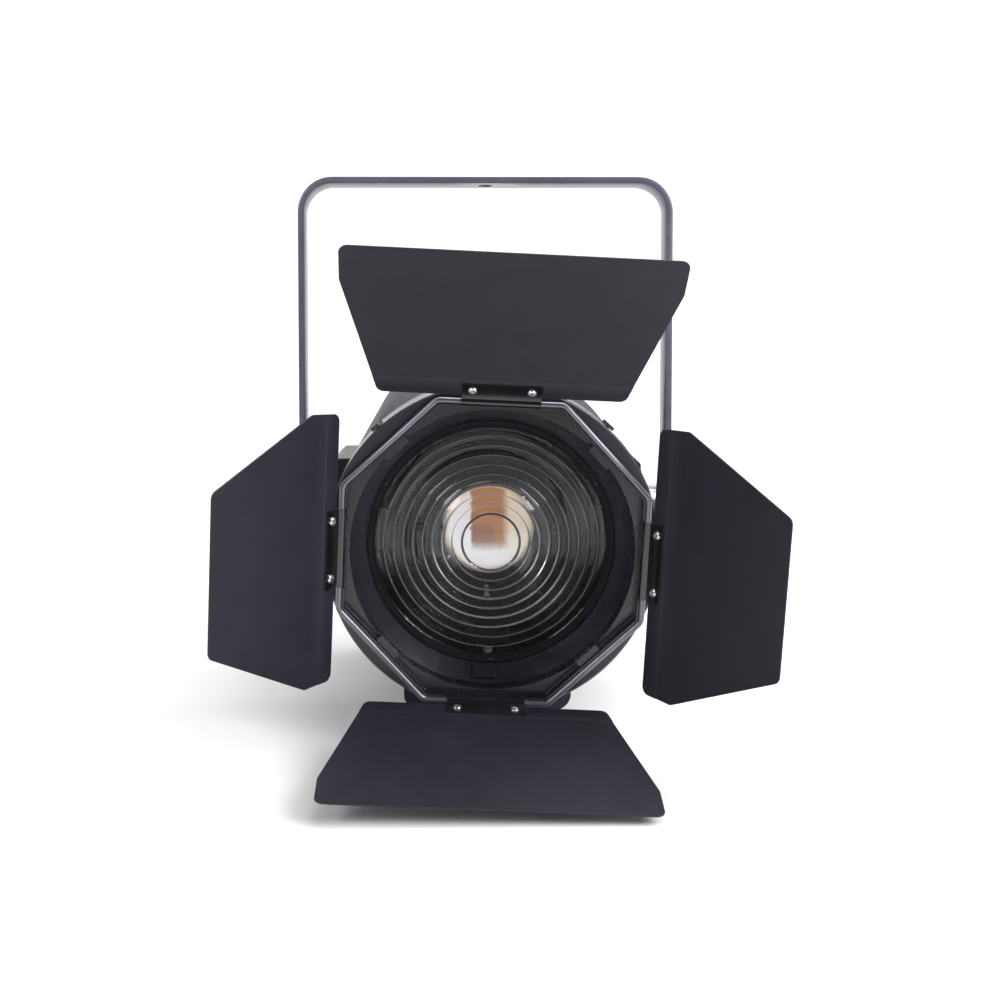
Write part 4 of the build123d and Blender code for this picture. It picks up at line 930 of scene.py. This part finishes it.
def make_led_array():
    """The carrier, a white dam round the emitter and the silicone dome over the chips."""
    front = -LED_FACE_Y / MM
    seat = front - CARRIER_FACE
    place = facing_front(0.0)
    silicone = [(0, front + SILICONE_RISE)]
    for share in [k / SILICONE_STEPS for k in range(1, SILICONE_STEPS + 1)]:
        silicone.append((EMITTER_R * share, front + SILICONE_RISE - SILICONE_SAG * share**2))
    silicone += [(EMITTER_R, seat), (0, seat)]
    dome = to_object("led_emitter", lathe(silicone, place, 128))
    finish_as(dome, "led_array", finish="led_two_colour")
    # the painted glow lights nothing else: diffuse rays don't see the dome
    dome.visible_diffuse = False
    plate = slab(rectangle(CARRIER_SIDE, CARRIER_SIDE, 3), front - CARRIER_BACK, seat, place)
    carrier = round_edges(to_object("led_carrier", plate), 0.2)
    part_of(carrier, "led_array", "raw_aluminium")
    dam = [(0.1, -CARRIER_FACE), (0.1, -0.2), (0.6, 0.1), (1.3, 0.1), (1.8, -0.3), (1.8, -CARRIER_FACE)]
    ring = closed_lathe([(EMITTER_R + out, front + ahead) for out, ahead in dam], place, 128)
    part_of(to_object("led_dam", ring), "led_array", "white_silicone")


HOLDER_SCREWS = [(45, 1), (-45, 1), (0, 45)]  # dark ones, at the sides and above
TERMINAL_SCREWS = [(-1, -40), (-1, -45.5)]  # small bright ones below
SOLDER_TABS = [(25, 22), (-27, -20)]


def make_led_holder():
    """The moulded ring that clamps the array, with its screws and solder tabs."""
    dressed("led_holder", 0.4, 3)
    heads = [(spot, 3.0, "dark_steel") for spot in HOLDER_SCREWS]
    heads += [(spot, 2.2, "zinc_steel") for spot in TERMINAL_SCREWS]
    for number, ((across, up), size, finish) in enumerate(heads):
        spot = facing_front(HOLDER_FACE_Y, across * MM, up * MM)
        head = part_of(cross_head(spot, size, 1.6, 1.5), "led_holder", finish)
        head.name = f"holder_screw_{number + 1}"
    for number, (across, up) in enumerate(SOLDER_TABS):
        spot = facing_front(HOLDER_FACE_Y, across * MM, up * MM) @ Matrix.Rotation(radians(50), 4, "Z")
        tab = slab(rectangle(4.2, 1.6, 0.4), 0, 0.7, spot)
        part_of(round_edges(to_object(f"solder_tab_{number + 1}", tab), 0.2), "led_holder", "zinc_steel")


# how far each inner piece's edges are rounded, in mm
INSIDE_EDGES = {
    "carriage_plate": 0.4,
    "carriage_bushes": 0.3,
    "heat_sink": 0.25,
    "fan_frame": 0.5,
    "fan_rotor": 0.3,
    "lead_screw": 0,
    "guide_rods": 0.4,
    "rod_supports": 0.3,
    "zoom_motor": 0.6,
    "power_supply": 0.8,
    "control_board": 0.2,
    "lens_gasket": 0.3,
    "friction_washers": 0.2,
}

make_led_array()
make_led_holder()
for node, width in INSIDE_EDGES.items():
    dressed(node, width)


# ---------------------------------------------------------------- yoke

YOKE_JOINT = JOINTS["yoke_tilt"]
BOLT = next(mount for mount in frame["record"]["mounts"] if mount["name"] == "yoke_bolt_hole")
BAR_WIDTH = 30.0
BAR_THICK = 6.0
BEND_R = 32.0
BAR_REACH = (Vector(BOLT["pos_m"]) - Vector(YOKE_JOINT["pos_m"])).length / MM
BAR_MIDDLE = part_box("yoke_arms")[1].x / MM - BAR_THICK / 2
STUD_HOLE_R = 5.1
BOLT_HOLE_R = 6.5
SINK_R = 7.6  # the countersink's rim
CLEAR = 9  # cutters reach this far past the bar's middle


def make_yoke():
    """One flat bar bent twice: rounded ends at the pivots, a clamp hole in the top."""
    up = Vector(BOLT["axis"])
    place = frame_at(YOKE_JOINT["pos_m"], Vector((1, 0, 0)).cross(up), (1, 0, 0))
    line = [(-BAR_MIDDLE, -BAR_WIDTH / 2 * cos(pi / 2 * k / 10)) for k in range(11)]
    line += [(-BAR_MIDDLE, BAR_WIDTH * k) for k in range(1, 9)]
    bend = BEND_R - BAR_THICK / 2
    centre = (-BAR_MIDDLE + bend, BAR_REACH - bend)
    for turn in [pi / 2 * k / 14 for k in range(15)]:
        line.append((centre[0] - bend * cos(turn), centre[1] + bend * sin(turn)))
    half = line + [(-90.0, BAR_REACH), (-40.0, BAR_REACH), (-12.0, BAR_REACH)]
    line = half + [(-x, y) for x, y in reversed(half)]
    shape = bmesh.new()
    rows = []
    for here, (x, y) in enumerate(line):
        before = Vector(line[max(here - 1, 0)])
        after = Vector(line[min(here + 1, len(line) - 1)])
        along = (after - before).normalized()
        across = Vector((-along.y, along.x))
        reach = sqrt(max(0.0, (BAR_WIDTH / 2) ** 2 - min(0.0, y) ** 2)) if y < 0 else BAR_WIDTH / 2
        reach = max(reach, 0.6)
        row = []
        for out, wide in ((-1, -1), (1, -1), (1, 1), (-1, 1)):
            skin = Vector((x, y)) + across * BAR_THICK / 2 * out
            row.append(shape.verts.new((MM * skin.x, MM * skin.y, MM * reach * wide)))
        rows.append(row)
    for low, high in zip(rows, rows[1:]):
        for k in range(4):
            shape.faces.new((low[k], low[(k + 1) % 4], high[(k + 1) % 4], high[k]))
    shape.faces.new(rows[0])
    shape.faces.new(rows[-1])
    yoke = round_edges(to_object("yoke_bent_bar", shape, place), 0.9, 3, SHEET_EDGE_TURN)
    apply_modifiers(yoke)
    hole = frame_at(BOLT["pos_m"], up, (1, 0, 0))
    drill = [(0, -CLEAR), (BOLT_HOLE_R, -CLEAR), (BOLT_HOLE_R, CLEAR), (0, CLEAR)]
    sink = [(0, 2.2), (6.4, 2.2), (SINK_R, 3.4), (SINK_R, CLEAR), (0, CLEAR)]
    pivot = frame_at(YOKE_JOINT["pos_m"], (1, 0, 0), (0, 1, 0))
    reamer = [(0, -200), (STUD_HOLE_R, -200), (STUD_HOLE_R, 200), (0, 200)]
    cutters = [to_object("hole", lathe(drill, hole, 48))]
    cutters.append(to_object("countersink", lathe(sink, hole, 48)))
    cutters.append(to_object("studs", lathe(reamer, pivot, 48)))
    carve(yoke, *cutters)
    finish_as(yoke, "yoke_bar", "yoke_arms")


make_yoke()
dressed("knob_washers", 0.2)
KNOB_CAP = [(0, 0.55), (8.2, 0.55), (8.8, 0.3), (9.0, -0.1), (9.0, -0.4)]
BLOCK_SCREWS = [(-34, 44), (34, 44), (-34, -44), (34, -44)]
for hand, side in HANDS.items():
    dressed(f"tilt_knob_{hand}", 0.8, 3)
    low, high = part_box(f"tilt_knob_{hand}")
    face = high.x if side > 0 else low.x
    cap = frame_at((face, 0, OPTICAL_Z), (side, 0, 0), (0, 1, 0))
    part_of(to_object(f"tilt_knob_{hand}_cap", lathe(KNOB_CAP, cap, 64)), f"tilt_knob_{hand}", "zinc_steel")
    dressed(f"pivot_hub_{hand}", 0.3)
    dressed(f"pivot_block_{hand}", 1.2, 3)
    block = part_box(f"pivot_block_{hand}")
    outer = block[1].x if side > 0 else block[0].x
    for number, (along, up) in enumerate(BLOCK_SCREWS):
        spot = frame_at((outer, along * MM, OPTICAL_Z + up * MM), (side, 0, 0), (0, 1, 0))
        head = cross_head(spot, SCREW_HEAD_R, SCREW_HEAD)
        part_of(head, f"pivot_block_{hand}", "zinc_steel").name = f"block_screw_{hand}_{number + 1}"


# ---------------------------------------------------------------- head casings and rear controls

OUTSIDE_EDGES = {
    "front_barrel": 0.4,
    "main_shell": 1.0,
    "rear_cover": 1.2,
    "base_box": 0.8,
    "base_cover": 0.3,
    "safety_eye": 0.5,
    "display_window": 0.3,
    "connector_panel": 0.5,
    "power_inlet": 0.35,
    "data_sockets": 0.35,
    "fuse_holder": 0.35,
    "button_menu": 0.2,
    "button_down": 0.2,
    "button_up": 0.2,
    "button_enter": 0.2,
}
for node, width in OUTSIDE_EDGES.items():
    dressed(node, width)

screws = []
for side in (-1, 1):
    for up in (-12, 12):
        low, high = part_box("cover_screws")
        seat = (high.x - 1.8 * MM) * side
        spot = frame_at((seat, (low.y + high.y) / 2, OPTICAL_Z + up * MM), (side, 0, 0), (0, 1, 0))
        screws.append(cross_head(spot, 3.0, 1.8))
finish_as(join("cover_screws_set", *screws), "cover_screws")

PANEL_BACK_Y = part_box("connector_panel")[1].y
SOCKET_Z = (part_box("power_inlet")[0].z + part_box("power_inlet")[1].z) / 2 - OPTICAL_Z
SOCKET_PITCH = 34.0
PIN_CIRCLE_R = 5.2
PIN = [(1.3, 0), (1.3, 6.5), (0.7, 7.4), (0, 7.4)]
FLANGE_SCREWS = [(-11.3, 12.3), (11.3, -12.3)]


def contacts(node, across, count):
    """The contacts at the bottom of a chassis socket and the two flange screws beside it."""
    floor_y = PANEL_BACK_Y - 2 * MM
    circle = PIN_CIRCLE_R * MM
    for number in range(count):
        turn = pi / 2 + 2 * pi * number / count
        spot = facing_back(floor_y, across * MM + circle * cos(turn), SOCKET_Z + circle * sin(turn))
        pin = to_object(f"{node}_pin_{number + 1}_{int(across)}", lathe(PIN, spot, 20))
        part_of(pin, node, "brass")
    for number, (sideways, up) in enumerate(FLANGE_SCREWS):
        spot = facing_back(PANEL_BACK_Y + 2 * MM, (across + sideways) * MM, SOCKET_Z + up * MM)
        screw = cross_head(spot, 1.8, 1.0, 1.1)
        part_of(screw, node, "zinc_steel").name = f"{node}_screw_{number + 1}_{int(across)}"


contacts("power_inlet", 1.5 * SOCKET_PITCH, 3)
contacts("data_sockets", -1.5 * SOCKET_PITCH, 5)
contacts("data_sockets", -0.5 * SOCKET_PITCH, 5)

COVER_SCREWS = [(-62, 100), (62, 100), (-62, -104), (62, -104)]
GRILLE_SIZE = (150, 82)
GRILLE_UP = 0.052


def cover_trim():
    """A dust mesh behind the grille, a bezel round the display and the rear cover's own screws."""
    back_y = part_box("rear_cover")[1].y
    mesh_plate = slab(rectangle(*GRILLE_SIZE, 3), -3.2, -2.6, facing_back(back_y, 0, GRILLE_UP))
    part_of(to_object("dust_filter", mesh_plate), "rear_cover", "dust_mesh")
    low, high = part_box("display_window")
    middle = ((low.x + high.x) / 2, (low.z + high.z) / 2 - OPTICAL_Z)
    outside = rectangle(56, 28, 3, 6)
    inside = rectangle(47, 19, 1.2, 6)
    bezel = bmesh.new()
    place = facing_back(back_y, *middle)
    loops = []
    for loop, z in ((outside, 0.0), (outside, 0.8), (inside, 0.8), (inside, 0.05)):
        loops.append([bezel.verts.new((x * MM, y * MM, z * MM)) for x, y in loop])
    for low_loop, high_loop in zip(loops, loops[1:] + loops[:1]):
        for here in range(len(outside)):
            following = (here + 1) % len(outside)
            lower = (low_loop[here], low_loop[following])
            bezel.faces.new((*lower, high_loop[following], high_loop[here]))
    part_of(round_edges(to_object("display_bezel", bezel, place), 0.25), "display_window", "black_plastic")
    for number, (across, up) in enumerate(COVER_SCREWS):
        spot = facing_back(back_y, across * MM, up * MM)
        screw = part_of(cross_head(spot, 3.0, 1.7), "rear_cover", "zinc_steel")
        screw.name = f"rear_screw_{number + 1}"


cover_trim()
